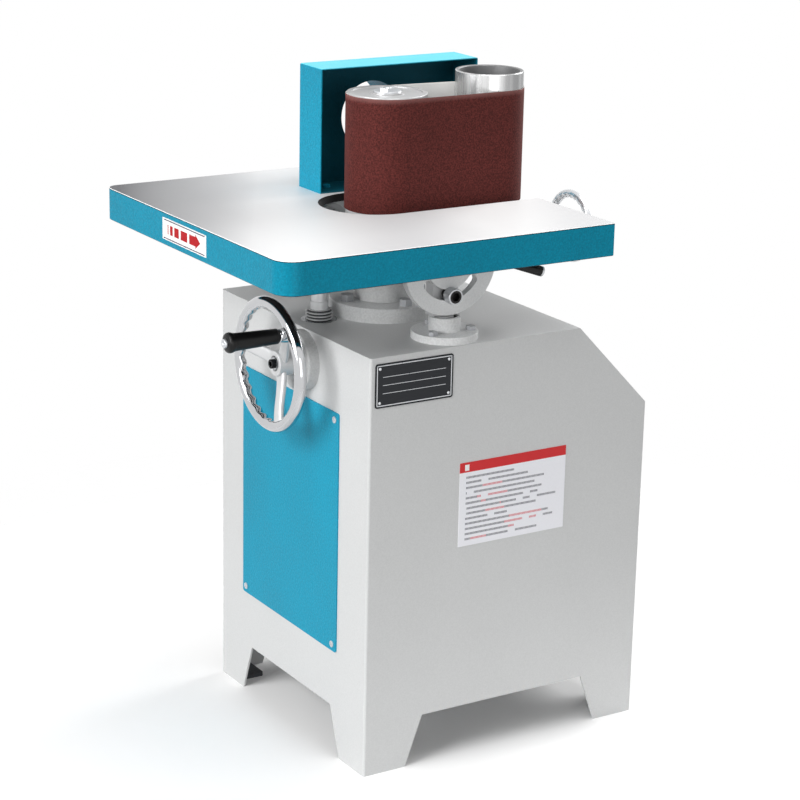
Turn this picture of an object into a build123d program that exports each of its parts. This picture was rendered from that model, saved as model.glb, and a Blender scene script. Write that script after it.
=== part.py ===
"""Stationary edge belt sander on a sheet-metal cabinet, with a lifting and tilting table.

Millimetres, +Z up, +Y to the rear, -X towards the operator's handwheel.
The origin lies on the floor, at the middle of the four anchor holes.
"""
from math import cos, pi, radians, sin, sqrt, tan

from build123d import *
import os

os.makedirs("parts", exist_ok=True)

# Clearances
fit = 0.05
gap = 0.3
room = 2

# Cabinet of folded sheet
cabinet_width = 490
cabinet_depth = 446
cabinet_height = 640
sheet = 3
shoulder_run = 130
shoulder_drop = 133
bend_radius = 4
foot_width = 72
foot_slant = 28
foot_height = 78
deck_thickness = 12
deck_setback = 14
sheet_return = 5

# Floor plates with anchor holes
foot_plate_side = 46
foot_plate_thickness = 6
anchor_radius = 6
anchor_inset = 27

# Access panel on the operator's side
panel_width = 290
panel_height = 370
panel_gap = 11
panel_shift = 4
panel_thickness = 2
panel_rim = 24
panel_screw_inset = 11
panel_screw_head = 5
panel_screw_height = 2.5
panel_screw_radius = 2.5
panel_screw_length = 10

# Plates on the front face
name_plate_width = 130
name_plate_height = 65
name_plate_margin = 8
name_plate_drop = 9
plate_thickness = 1
card_width = 188
card_height = 129
card_left = 155
card_bottom = 333
card_thickness = 0.6

# Drive drum, idler and sanding belt
drum_inset = 156
drum_radius = 59.5
drum_rise = 150
drum_height = 180
drum_wall = 7
drum_web = 10
drum_recess = 1.5
drum_hub_radius = 26
belt_centres = 174
idler_radius = 51.5
idler_height = 202
idler_wall = 6
idler_top_web_depth = 52
belt_thickness = 1.2
belt_lift = 8
belt_width = 170

# Spindle housing bolted to the cabinet top
spindle_flange_radius = 82
spindle_flange = 22
spindle_body_radius = 44
spindle_clearance = 12
spindle_bolt_circle = 63
spindle_bolt_count = 4
spindle_bolt_start = -90
spindle_bolt_radius = 6
spindle_bolt_length = 50
spindle_bolt_head = 10.5
spindle_bolt_head_height = 10
bearing_outer = 31
bearing_width = 16
bearing_lip = 4

# Drive shaft and motor
shaft_radius = 15
shaft_overhang = 7
shaft_shoulder_radius = 20
shaft_end_nut = 6
motor_flange_radius = 80
motor_flange = 15
motor_body_radius = 77
motor_fin_height = 7
motor_fin_thickness = 3
motor_fin_count = 28
motor_bore_radius = 70
motor_height = 210
end_cover_height = 16
air_gap = 0.7
stator_width = 25
stator_height = 130
stator_drop = 40
fan_radius = 64
fan_height = 22
fan_hub_radius = 24
fan_blade = 3
fan_blade_count = 7
fan_drop = 10
fan_cover_sheet = 1.5
fan_cover_room = 15
fan_slot_count = 12
fan_slot_width = 6
terminal_width = 90
terminal_height = 80
terminal_depth = 34

# Drum clamp on the shaft end
drum_washer_radius = 21
drum_washer = 2
drum_nut_radius = 12
drum_nut = 4

# Tension arm, idler block and tension screw
tension_drop = 53
tension_travel = 12
arm_ring_radius = 60
arm_width = 52
arm_height = 46
channel_reach = 80
tongue_width = 30
tongue_height = 26
block_lead = 21
block_length = 46
block_width = 60
block_gap = 4
axle_radius = 12.5
axle_shoulder_radius = 16
axle_seat = 36
axle_nut_radius = 19
axle_nut = 8
idler_bearing_outer = 26
idler_bearing_width = 15
screw_radius = 7
screw_shank_radius = 8
screw_engagement = 18
screw_hole_spare = 3
screw_collar_radius = 11
screw_collar = 6
arm_screw_radius = 5
arm_screw_head = 8
arm_screw_height = 10
arm_ear_width = 22
arm_ear_length = 16
arm_split = 4

# Tension handwheel
tension_wheel_reach = 162
tension_wheel_radius = 57
tension_rim_radius = 6.5
tension_hub_radius = 14
tension_hub = 24
tension_spoke = 13
tension_spoke_thickness = 8
tension_spoke_count = 3
tension_spoke_start = -90

# Platen behind the front run of the belt
platen_drum_gap = 35
platen_idler_gap = 44
platen_thickness = 8
platen_margin = 10
platen_rib = 12
platen_rib_reach = 85
platen_foot = 10
platen_foot_length = 60
platen_rib_depth = 32

# Lift columns and their guides
column_inset = 53
column_radius = 13
column_drop = 200
guide_flange_radius = 49
guide_flange = 11
guide_collar_radius = 23.5
guide_collar_height = 21
guide_sleeve_radius = 24
guide_sleeve = 80
guide_recess_radius = 19
guide_recess = 3
guide_bolt_circle = 38
guide_bolt_count = 3
guide_bolt_start = -28
guide_bolt_radius = 4
guide_bolt_length = 28
guide_bolt_head = 7.5
guide_bolt_head_height = 5.5

# Table tilt: trunnion plates, lugs, pivot pins and clamp screws
tilt_rise = 30
trunnion_lead = 13
trunnion_height = 42
trunnion_thickness = 12
trunnion_radius = 77
trunnion_flange = 10
trunnion_flange_depth = 42
arc_slot_inner = 39
arc_slot_outer = 55
arc_slot_half_angle = 52
lug_width = 43
lug_thickness = 18.5
pin_radius = 8
pin_head_radius = 12.5
pin_head = 7
clamp_radius = 7
clamp_head_radius = 12
clamp_head = 15
clamp_socket = 7
clamp_socket_depth = 9
trunnion_screw_radius = 5
trunnion_screw_spread = 88
trunnion_screw_depth = 9
trunnion_screw_head = 8.5
trunnion_screw_head_height = 6.5

# Lock lever on the front pivot
lever_hub_radius = 15
lever_hub = 18
lever_rod_radius = 4.5
lever_reach = 78.6
lever_droop = 2.4
lever_bend = 12
grip_droop = 18
grip_length = 74
grip_small_radius = 5.6
grip_large_radius = 7.7
grip_cap = 4

# Rack post, pinion and lift yoke
post_inset = 45
module = 1.5
pinion_teeth = 24
pinion_width = 18
rack_pitch_radius = 19
rack_length = 196
rack_rise = 16
tooth_share = 0.42
pressure_angle = 20
dedendum_ratio = 1.25
post_neck_radius = 13.5
post_shoulder_radius = 12
post_stud_radius = 8.5
post_neck = 12
post_shoulder = 54
post_tail = 12
bush_radius = 27
bush_length = 25
yoke_thickness = 15
yoke_back = 23
yoke_cross = 48
yoke_arm_reach = 24
yoke_arm_width = 40
post_nut_radius = 18
post_nut = 12
stop_setback = 5
stop_radius = 6
stop_nut_radius = 11
stop_nut = 8

# Lift handwheel and its bearing boss
boss_radius = 45
boss_thickness = 18
boss_sleeve_radius = 16
boss_sleeve_gap = 5
boss_screw_circle = 36
boss_screw_head = 5
boss_screw_radius = 3
boss_screw_count = 3
lift_shaft_radius = 9
wheel_radius = 100
wheel_rim_radius = 9
wheel_lead = 7
wheel_hub_radius = 19
wheel_hub = 31
wheel_spoke_width = 22
wheel_spoke_thickness = 9
wheel_dish = 17
wheel_screw_radius = 6
wheel_screw = 10
handle_offset = 72
handle_angle = 130
handle_boss_radius = 10
handle_boss = 8
handle_spindle_radius = 4
handle_cap_radius = 7
handle_cap = 4
handle_length = 83
handle_small_radius = 11.5
handle_large_radius = 13.5
handle_flare_radius = 15
handle_flare = 8

# Table plate and skirt
table_reach_left = 323
table_reach_right = 48
table_width = 554
table_shift = 6
table_plate = 12
table_lip = 1
table_corner = 30
table_rear_corner = 18
table_edge = 0.8
skirt_height = 49
skirt_wall = 6
slot_half = 80
slot_reach = 102

# Dust hood behind the belt
hood_lead = 60
hood_gap = 9
hood_setback = 5
hood_depth = 66
hood_height = 188
hood_sheet = 2
hood_bend = 2.5
spigot_reach = 66
spigot_rise = 100
spigot_radius = 55
spigot_wall = 2
spigot_length = 75
hood_screw_radius = 3
hood_screw_head = 5.5
hood_screw_height = 3.5
hood_screw_depth = 7
hood_screw_inset = 30

# Direction sign on the table's left edge
sign_length = 137
sign_height = 32
sign_y = 18
sign_drop = 8
sign_thickness = 0.8

# Push buttons on the sloped shoulder
switch_width = 110
switch_height = 74
switch_plate = 3
button_radius = 11
button_height = 9
button_spread = 46
button_stem = 14
button_collar_radius = 15
button_collar = 3

# Cable gland on the rear wall
gland_inset = 125
gland_z = 150
gland_radius = 14
gland_length = 22
gland_bore = 6
gland_nut_radius = 18
gland_nut = 8

# Worked-out places: plan
half_width = cabinet_width / 2
half_depth = cabinet_depth / 2
shoulder_x = half_width - shoulder_run
drum_x = -half_width + drum_inset
idler_x = drum_x + belt_centres
idler_y = idler_radius - drum_radius
channel_start = drum_x + channel_reach
screw_tip = channel_start - screw_engagement
screw_hole_end = screw_tip - tension_travel - screw_hole_spare
block_start = idler_x - block_lead
arm_end = block_start - tension_travel - room
tension_wheel_x = idler_x + tension_wheel_reach
platen_left = drum_x + platen_drum_gap
platen_right = idler_x - platen_idler_gap
platen_rib_x = drum_x + platen_rib_reach
column_y = half_depth - column_inset
trunnion_face = column_y + trunnion_lead
lug_back = trunnion_face - trunnion_thickness - gap - lug_thickness
post_x = -half_width + post_inset
yoke_left = post_x - yoke_back
yoke_arm_right = drum_x + yoke_arm_reach
stop_x = post_x - stop_setback
boss_face = -half_width - boss_thickness
boss_sleeve_end = post_x - pinion_width / 2 - boss_sleeve_gap
hub_back = boss_face - room
wheel_hub_face = hub_back - wheel_hub
wheel_plane = wheel_hub_face - wheel_lead
table_left = drum_x - table_reach_left
table_right = idler_x + table_reach_right
table_center_x = (table_left + table_right) / 2
table_length = table_right - table_left
slot_left = drum_x - slot_reach
slot_center_x = slot_left + slot_half
hood_left = drum_x - hood_lead
hood_right = table_right - hood_setback
hood_front = slot_half + hood_gap
hood_back = hood_front + hood_depth
spigot_x = drum_x + spigot_reach
gland_x = half_width - gland_inset

# Worked-out places: heights
deck_bottom = cabinet_height - sheet - deck_thickness
drum_bottom = cabinet_height + drum_rise
drum_top = drum_bottom + drum_height
idler_top = drum_bottom + idler_height
belt_bottom = drum_bottom + belt_lift
spindle_body_top = drum_bottom - spindle_clearance
tension_z = drum_bottom - tension_drop
block_top = drum_bottom - block_gap
axle_top = idler_top - idler_top_web_depth + axle_nut
column_bottom = cabinet_height - column_drop
guide_sleeve_bottom = cabinet_height - guide_sleeve
guide_top = cabinet_height + guide_flange + guide_collar_height
rack_top = cabinet_height + rack_rise
post_shoulder_bottom = rack_top + post_neck
yoke_bottom = post_shoulder_bottom + post_shoulder
tilt_z = yoke_bottom + tilt_rise
plate_bottom = tilt_z + trunnion_height
flange_bottom = plate_bottom - trunnion_flange
trunnion_screw_top = plate_bottom + trunnion_screw_depth
table_z = plate_bottom + table_plate
skirt_bottom = table_z - skirt_height
spigot_z = table_z + spigot_rise
sign_top = table_z - sign_drop
lift_z = cabinet_height - boss_radius - room
panel_top = lift_z - boss_radius - panel_gap
panel_bottom = panel_top - panel_height
name_plate_bottom = cabinet_height - name_plate_drop - name_plate_height
motor_top = deck_bottom
motor_bottom = motor_top - motor_flange - motor_height
end_cover_bottom = motor_bottom - end_cover_height
fan_top = end_cover_bottom - fan_drop
shaft_bottom = fan_top - fan_height - shaft_overhang
fan_cover_bottom = shaft_bottom - fan_cover_room
stator_top = motor_top - motor_flange - stator_drop
stator_bottom = stator_top - stator_height

# Worked-out sizes
belt_inner_gap = gap
pitch = pi * module
pinion_pitch_radius = module * pinion_teeth / 2
lift_y = -(rack_pitch_radius + pinion_pitch_radius)
rack_outer = rack_pitch_radius + module
rack_root = rack_pitch_radius - dedendum_ratio * module
clamp_reach = (arc_slot_inner + arc_slot_outer) / 2
stator_bore = motor_bore_radius - stator_width
spigot_bore = spigot_radius - spigot_wall

ON_BASE = (Align.CENTER, Align.CENTER, Align.MIN)
ALONG_X = (0, 90, 0)
TOWARDS_REAR = (-90, 0, 0)


def post(x, y, bottom, top, radius, mode=Mode.ADD):
    """Upright round post between two heights, at one place on the plan."""
    with Locations((x, y, bottom)):
        Cylinder(radius, top - bottom, align=ON_BASE, mode=mode)


def rod_x(start, end, y, z, radius, mode=Mode.ADD):
    """Round rod along X between two stations."""
    with Locations((start, y, z)):
        Cylinder(radius, end - start, rotation=ALONG_X, align=ON_BASE, mode=mode)


def rod_y(start, end, x, z, radius, mode=Mode.ADD):
    """Round rod along Y between two stations."""
    with Locations((x, start, z)):
        Cylinder(radius, end - start, rotation=TOWARDS_REAR, align=ON_BASE, mode=mode)


def block(low, high, mode=Mode.ADD):
    """Rectangular block between two opposite corners."""
    corner = (Align.MIN, Align.MIN, Align.MIN)
    with Locations(low):
        Box(high[0] - low[0], high[1] - low[1], high[2] - low[2], align=corner, mode=mode)


def table_outline(inset):
    """Plan of the table, drawn in from its edge, with its two left corners rounded."""
    with Locations((table_center_x, table_shift)):
        Rectangle(table_length - 2 * inset, table_width - 2 * inset)
    fillet(vertices().group_by(Axis.X)[0].sort_by(Axis.Y)[0], table_corner - inset)
    fillet(vertices().group_by(Axis.X)[0].sort_by(Axis.Y)[-1], table_rear_corner - inset)


def around(x, y, reach, count, start):
    """Plan places evenly spread round a bolt circle."""
    angles = [radians(start + 360 * n / count) for n in range(count)]
    return [(x + reach * cos(a), y + reach * sin(a)) for a in angles]


guide_bolt_places = [
    place
    for side in (-1, 1)
    for place in around(
        drum_x, side * column_y, guide_bolt_circle, guide_bolt_count, -side * guide_bolt_start
    )
]
spindle_bolt_places = around(drum_x, 0, spindle_bolt_circle, spindle_bolt_count, spindle_bolt_start)
foot_places = [
    (sx * (half_width - anchor_inset), sy * (half_depth - anchor_inset)) for sx in (-1, 1) for sy in (-1, 1)
]
panel_screw_places = [
    (panel_shift + sy * (panel_width / 2 - panel_screw_inset), panel_bottom + z)
    for sy in (-1, 1)
    for z in (panel_screw_inset, panel_height - panel_screw_inset)
]
trunnion_screw_y = trunnion_face - trunnion_thickness - trunnion_flange_depth / 2
trunnion_screw_places = [
    (drum_x + sx * trunnion_screw_spread / 2, sy * trunnion_screw_y)
    for sx in (-1, 1)
    for sy in (-1, 1)
]
hood_screw_places = [
    (x, hood_front + hood_depth / 2) for x in (hood_left + hood_screw_inset, hood_right - hood_screw_inset)
]
stop_places = [(stop_x, side * (lug_back - yoke_arm_width / 2)) for side in (-1, 1)]

# Cabinet: folded sheet with a sloped right shoulder, open below, cut out between its feet
shoulder_plane = Plane(
    origin=(half_width - shoulder_run / 2, 0, cabinet_height - shoulder_drop / 2),
    x_dir=(0, 1, 0),
    z_dir=(shoulder_drop, 0, shoulder_run),
)
button_places = [(-button_spread / 2, 0), (button_spread / 2, 0)]
with BuildPart() as cabinet:
    with BuildSketch(Plane.XZ):
        with BuildLine():
            Polyline(
                (-half_width, 0),
                (half_width, 0),
                (half_width, cabinet_height - shoulder_drop),
                (shoulder_x, cabinet_height),
                (-half_width, cabinet_height),
                close=True,
            )
        make_face()
    extrude(amount=half_depth, both=True)
    fillet(cabinet.edges().filter_by(Axis.Z), bend_radius)
    offset(amount=-sheet, openings=cabinet.faces().sort_by(Axis.Z)[0])
    with BuildSketch(Plane.XZ):
        with BuildLine():
            Polyline(
                (-half_width + foot_width, 0),
                (-half_width + foot_width + foot_slant, foot_height),
                (half_width - foot_width - foot_slant, foot_height),
                (half_width - foot_width, 0),
                close=True,
            )
        make_face()
    extrude(amount=cabinet_depth, both=True, mode=Mode.SUBTRACT)
    with BuildSketch(Plane.YZ):
        with BuildLine():
            Polyline(
                (-half_depth + foot_width, 0),
                (-half_depth + foot_width + foot_slant, foot_height),
                (half_depth - foot_width - foot_slant, foot_height),
                (half_depth - foot_width, 0),
                close=True,
            )
        make_face()
    extrude(amount=cabinet_width, both=True, mode=Mode.SUBTRACT)
    post(drum_x, 0, deck_bottom, cabinet_height, spindle_body_radius, Mode.SUBTRACT)
    for side in (-1, 1):
        post(drum_x, side * column_y, deck_bottom, cabinet_height, guide_sleeve_radius + fit, Mode.SUBTRACT)
    post(post_x, 0, deck_bottom, cabinet_height, bush_radius + fit, Mode.SUBTRACT)
    for x, y in guide_bolt_places:
        post(x, y, deck_bottom, cabinet_height, guide_bolt_radius + fit, Mode.SUBTRACT)
    for x, y in spindle_bolt_places:
        post(x, y, deck_bottom, cabinet_height, spindle_bolt_radius + fit, Mode.SUBTRACT)
    block(
        (-half_width, panel_shift - panel_width / 2 + panel_rim, panel_bottom + panel_rim),
        (-half_width + sheet, panel_shift + panel_width / 2 - panel_rim, panel_top - panel_rim),
        Mode.SUBTRACT,
    )
    for y, z in panel_screw_places:
        rod_x(-half_width, -half_width + sheet, y, z, panel_screw_radius + fit, Mode.SUBTRACT)
    rod_x(-half_width, -half_width + sheet, lift_y, lift_z, boss_sleeve_radius + fit, Mode.SUBTRACT)
    rod_y(half_depth - sheet, half_depth, gland_x, gland_z, gland_radius + fit, Mode.SUBTRACT)
    with BuildSketch(shoulder_plane):
        with Locations(*button_places):
            Circle(button_radius + room)
    extrude(amount=-sheet * 2, mode=Mode.SUBTRACT)

# Its three sheets: a shell over the left, top and right, and a front and a rear sheet that turn the corners
front_seam = Plane.XZ.offset(half_depth - sheet_return)
rear_seam = Plane.XZ.offset(sheet_return - half_depth)
with BuildPart() as cabinet_shell:
    add(cabinet.part)
    split(bisect_by=front_seam, keep=Keep.BOTTOM)
    split(bisect_by=rear_seam, keep=Keep.TOP)
cabinet_shell.part.label = "cabinet_shell"
export_step(cabinet_shell.part, "parts/cabinet_shell.step")

with BuildPart() as cabinet_front:
    add(cabinet.part)
    split(bisect_by=front_seam, keep=Keep.TOP)
cabinet_front.part.label = "cabinet_front"
export_step(cabinet_front.part, "parts/cabinet_front.step")

with BuildPart() as cabinet_rear:
    add(cabinet.part)
    split(bisect_by=rear_seam, keep=Keep.BOTTOM)
cabinet_rear.part.label = "cabinet_rear"
export_step(cabinet_rear.part, "parts/cabinet_rear.step")

# Deck plate: thick plate welded under the cabinet top to carry the spindle, guides and motor
with BuildPart() as deck_plate:
    block(
        (-half_width + sheet, -half_depth + sheet, deck_bottom),
        (shoulder_x - deck_setback, half_depth - sheet, cabinet_height - sheet),
    )
    fillet(deck_plate.edges().filter_by(Axis.Z).group_by(Axis.X)[0], bend_radius)
    post(drum_x, 0, deck_bottom, cabinet_height, spindle_body_radius, Mode.SUBTRACT)
    for side in (-1, 1):
        post(drum_x, side * column_y, deck_bottom, cabinet_height, guide_sleeve_radius + fit, Mode.SUBTRACT)
    post(post_x, 0, deck_bottom, cabinet_height, bush_radius + fit, Mode.SUBTRACT)
    for x, y in guide_bolt_places:
        post(x, y, deck_bottom, cabinet_height, guide_bolt_radius + fit, Mode.SUBTRACT)
    for x, y in spindle_bolt_places:
        post(x, y, deck_bottom, cabinet_height, spindle_bolt_radius + fit, Mode.SUBTRACT)
deck_plate.part.label = "deck_plate"
export_step(deck_plate.part, "parts/deck_plate.step")

# Foot plates: welded into the four corners at floor level, each with an anchor hole
inner_side = {-1: Align.MIN, 1: Align.MAX}
with BuildPart() as foot_plates:
    for sx in (-1, 1):
        for sy in (-1, 1):
            with Locations((sx * (half_width - sheet), sy * (half_depth - sheet), 0)):
                Box(
                    foot_plate_side,
                    foot_plate_side,
                    foot_plate_thickness,
                    align=(inner_side[sx], inner_side[sy], Align.MIN),
                )
    fillet(foot_plates.edges().filter_by(Axis.Z), bend_radius)
    for x, y in foot_places:
        post(x, y, 0, foot_plate_thickness, anchor_radius, Mode.SUBTRACT)
foot_plates.part.label = "foot_plates"
export_step(foot_plates.part, "parts/foot_plates.step")

# Access panel: painted sheet screwed over the opening in the left wall
with BuildPart() as access_panel:
    with BuildSketch(Plane.YZ.offset(-half_width)):
        with Locations((panel_shift, panel_bottom + panel_height / 2)):
            RectangleRounded(panel_width, panel_height, bend_radius)
    extrude(amount=-panel_thickness)
    for y, z in panel_screw_places:
        rod_x(-half_width - panel_thickness, -half_width, y, z, panel_screw_radius + fit, Mode.SUBTRACT)
access_panel.part.label = "access_panel"
export_step(access_panel.part, "parts/access_panel.step")

# Name plate and instruction card on the front face, both left blank
with BuildPart() as name_plate:
    with BuildSketch(Plane.XZ.offset(half_depth)):
        name_plate_x = -half_width + name_plate_margin + name_plate_width / 2
        with Locations((name_plate_x, name_plate_bottom + name_plate_height / 2)):
            RectangleRounded(name_plate_width, name_plate_height, bend_radius)
    extrude(amount=plate_thickness)
name_plate.part.label = "name_plate"
export_step(name_plate.part, "parts/name_plate.step")

with BuildPart() as instruction_card:
    with BuildSketch(Plane.XZ.offset(half_depth)):
        with Locations((-half_width + card_left + card_width / 2, card_bottom + card_height / 2)):
            Rectangle(card_width, card_height)
    extrude(amount=card_thickness)
instruction_card.part.label = "instruction_card"
export_step(instruction_card.part, "parts/instruction_card.step")

# Lift boss: round bearing housing on the left wall that carries the handwheel shaft
boss_screw_places = around(lift_y, lift_z, boss_screw_circle, boss_screw_count, handle_angle)
with BuildPart() as lift_boss:
    rod_x(boss_face, -half_width, lift_y, lift_z, boss_radius)
    fillet(lift_boss.edges().group_by(Axis.X)[0], sheet)
    rod_x(-half_width, boss_sleeve_end, lift_y, lift_z, boss_sleeve_radius)
    rod_x(boss_face, boss_sleeve_end, lift_y, lift_z, lift_shaft_radius + fit, Mode.SUBTRACT)
    for y, z in boss_screw_places:
        rod_x(boss_face, -half_width, y, z, boss_screw_radius + fit, Mode.SUBTRACT)
lift_boss.part.label = "lift_boss"
export_step(lift_boss.part, "parts/lift_boss.step")

# Wall screws: pan-head screws of the access panel and the lift boss
panel_face = -half_width - panel_thickness
with BuildPart() as wall_screws:
    for y, z in panel_screw_places:
        rod_x(panel_face - panel_screw_height, panel_face, y, z, panel_screw_head)
        rod_x(panel_face, panel_face + panel_screw_length, y, z, panel_screw_radius)
    for y, z in boss_screw_places:
        rod_x(boss_face - panel_screw_height, boss_face, y, z, boss_screw_head)
        rod_x(boss_face, -half_width, y, z, boss_screw_radius)
wall_screws.part.label = "wall_screws"
export_step(wall_screws.part, "parts/wall_screws.step")

# Column guides: flanged sleeves bolted to the cabinet top, front and rear
for name, side in (("front_guide", -1), ("rear_guide", 1)):
    with BuildPart() as guide:
        post(drum_x, side * column_y, cabinet_height, cabinet_height + guide_flange, guide_flange_radius)
        fillet(guide.edges().group_by(Axis.Z)[-1], room / 2)
        post(drum_x, side * column_y, cabinet_height + guide_flange, guide_top, guide_collar_radius)
        fillet(guide.edges().group_by(Axis.Z)[-1], room / 2)
        post(drum_x, side * column_y, guide_sleeve_bottom, cabinet_height, guide_sleeve_radius)
        post(drum_x, side * column_y, guide_sleeve_bottom, guide_top, column_radius + fit, Mode.SUBTRACT)
        post(drum_x, side * column_y, guide_top - guide_recess, guide_top, guide_recess_radius, Mode.SUBTRACT)
        for x, y in guide_bolt_places:
            post(x, y, cabinet_height, cabinet_height + guide_flange, guide_bolt_radius + fit, Mode.SUBTRACT)
    guide.part.label = name
    export_step(guide.part, f"parts/{name}.step")

# Post bush: plain bush in the cabinet top round the rack post
with BuildPart() as post_bush:
    post(post_x, 0, cabinet_height - bush_length, cabinet_height, bush_radius)
    post(post_x, 0, cabinet_height - bush_length, cabinet_height, rack_outer + fit, Mode.SUBTRACT)
post_bush.part.label = "post_bush"
export_step(post_bush.part, "parts/post_bush.step")

# Spindle housing: flanged bearing tube on the cabinet top
lower_bearing = cabinet_height + bearing_lip
upper_bearing = spindle_body_top - bearing_lip - bearing_width
with BuildPart() as spindle_housing:
    post(drum_x, 0, cabinet_height, cabinet_height + spindle_flange, spindle_flange_radius)
    fillet(spindle_housing.edges().group_by(Axis.Z)[-1], room)
    post(drum_x, 0, cabinet_height + spindle_flange, spindle_body_top, spindle_body_radius)
    fillet(spindle_housing.edges().group_by(Axis.Z)[-1], room)
    post(drum_x, 0, cabinet_height, spindle_body_top, shaft_radius + room * 2, Mode.SUBTRACT)
    for seat in (lower_bearing, upper_bearing):
        post(drum_x, 0, seat, seat + bearing_width, bearing_outer + fit, Mode.SUBTRACT)
    for x, y in spindle_bolt_places:
        post(x, y, cabinet_height, cabinet_height + spindle_flange, spindle_bolt_radius + fit, Mode.SUBTRACT)
spindle_housing.part.label = "spindle_housing"
export_step(spindle_housing.part, "parts/spindle_housing.step")

# Shaft bearings: two in the spindle housing and one in the motor's end cover
with BuildPart() as shaft_bearings:
    for seat in (lower_bearing, upper_bearing, end_cover_bottom):
        post(drum_x, 0, seat, seat + bearing_width, bearing_outer)
        post(drum_x, 0, seat, seat + bearing_width, shaft_radius + fit, Mode.SUBTRACT)
shaft_bearings.part.label = "shaft_bearings"
export_step(shaft_bearings.part, "parts/shaft_bearings.step")

# Motor housing: finned shell bolted up to the deck plate
with BuildPart() as motor_housing:
    post(drum_x, 0, motor_top - motor_flange, motor_top, motor_flange_radius)
    post(drum_x, 0, motor_bottom, motor_top - motor_flange, motor_body_radius)
    with Locations((drum_x, 0, motor_bottom)):
        with PolarLocations(motor_body_radius + (motor_fin_height - room) / 2, motor_fin_count):
            Box(motor_fin_height + room, motor_fin_thickness, motor_height, align=ON_BASE)
    post(drum_x, 0, motor_bottom, motor_top - motor_flange, motor_bore_radius + fit, Mode.SUBTRACT)
    post(drum_x, 0, motor_top - motor_flange, motor_top, shaft_radius + room * 2, Mode.SUBTRACT)
    for x, y in spindle_bolt_places:
        post(x, y, motor_top - motor_flange, motor_top, spindle_bolt_radius + fit, Mode.SUBTRACT)
motor_housing.part.label = "motor_housing"
export_step(motor_housing.part, "parts/motor_housing.step")

with BuildPart() as motor_end_cover:
    post(drum_x, 0, end_cover_bottom, motor_bottom, motor_flange_radius)
    post(drum_x, 0, end_cover_bottom, motor_bottom, bearing_outer + fit, Mode.SUBTRACT)
motor_end_cover.part.label = "motor_end_cover"
export_step(motor_end_cover.part, "parts/motor_end_cover.step")

with BuildPart() as stator:
    post(drum_x, 0, stator_bottom, stator_top, motor_bore_radius)
    post(drum_x, 0, stator_bottom, stator_top, stator_bore, Mode.SUBTRACT)
stator.part.label = "stator"
export_step(stator.part, "parts/stator.step")

# Fan cover: cup over the motor's lower end, slotted for air
with BuildPart() as fan_cover:
    post(drum_x, 0, fan_cover_bottom, motor_bottom, motor_flange_radius + fan_cover_sheet)
    post(
        drum_x, 0, fan_cover_bottom + fan_cover_sheet, motor_bottom, motor_flange_radius + fit, Mode.SUBTRACT
    )
    with Locations((drum_x, 0, fan_cover_bottom)):
        with PolarLocations((fan_hub_radius + fan_radius) / 2, fan_slot_count):
            Box(
                fan_radius - fan_hub_radius,
                fan_slot_width,
                fan_cover_sheet,
                align=ON_BASE,
                mode=Mode.SUBTRACT,
            )
fan_cover.part.label = "fan_cover"
export_step(fan_cover.part, "parts/fan_cover.step")

# Terminal box on the motor's right side
terminal_start = drum_x + motor_body_radius + motor_fin_height
with BuildPart() as terminal_box:
    block(
        (terminal_start, -terminal_width / 2, stator_top - terminal_height),
        (terminal_start + terminal_depth, terminal_width / 2, stator_top),
    )
    fillet(terminal_box.edges().filter_by(Axis.X), bend_radius)
terminal_box.part.label = "terminal_box"
export_step(terminal_box.part, "parts/terminal_box.step")

# Tension arm: split clamp round the spindle housing with a hollow beam towards the idler
arm_bottom = tension_z - arm_height / 2
arm_top = tension_z + arm_height / 2
ear_left = drum_x - arm_ring_radius - arm_ear_length
ear_screw_x = drum_x - arm_ring_radius - arm_ear_length / 2
with BuildPart() as tension_arm:
    post(drum_x, 0, arm_bottom, arm_top, arm_ring_radius)
    block(
        (drum_x, idler_y - arm_width / 2, arm_bottom),
        (arm_end, idler_y + arm_width / 2, arm_top),
    )
    block(
        (ear_left, -arm_ear_width, arm_bottom),
        (drum_x - spindle_body_radius, arm_ear_width, arm_top),
    )
    fillet(tension_arm.edges().filter_by(Axis.Z).group_by(Axis.X)[0], bend_radius)
    post(drum_x, 0, arm_bottom, arm_top, spindle_body_radius + fit, Mode.SUBTRACT)
    block(
        (ear_left, -arm_split / 2, arm_bottom),
        (drum_x - spindle_body_radius + room, arm_split / 2, arm_top),
        Mode.SUBTRACT,
    )
    block(
        (channel_start, idler_y - tongue_width / 2 - fit, tension_z - tongue_height / 2 - fit),
        (arm_end, idler_y + tongue_width / 2 + fit, tension_z + tongue_height / 2 + fit),
        Mode.SUBTRACT,
    )
    rod_x(screw_hole_end, channel_start, idler_y, tension_z, screw_radius + fit, Mode.SUBTRACT)
    rod_y(-arm_ear_width, arm_ear_width, ear_screw_x, tension_z, arm_screw_radius + fit, Mode.SUBTRACT)
tension_arm.part.label = "tension_arm"
export_step(tension_arm.part, "parts/tension_arm.step")

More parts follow.
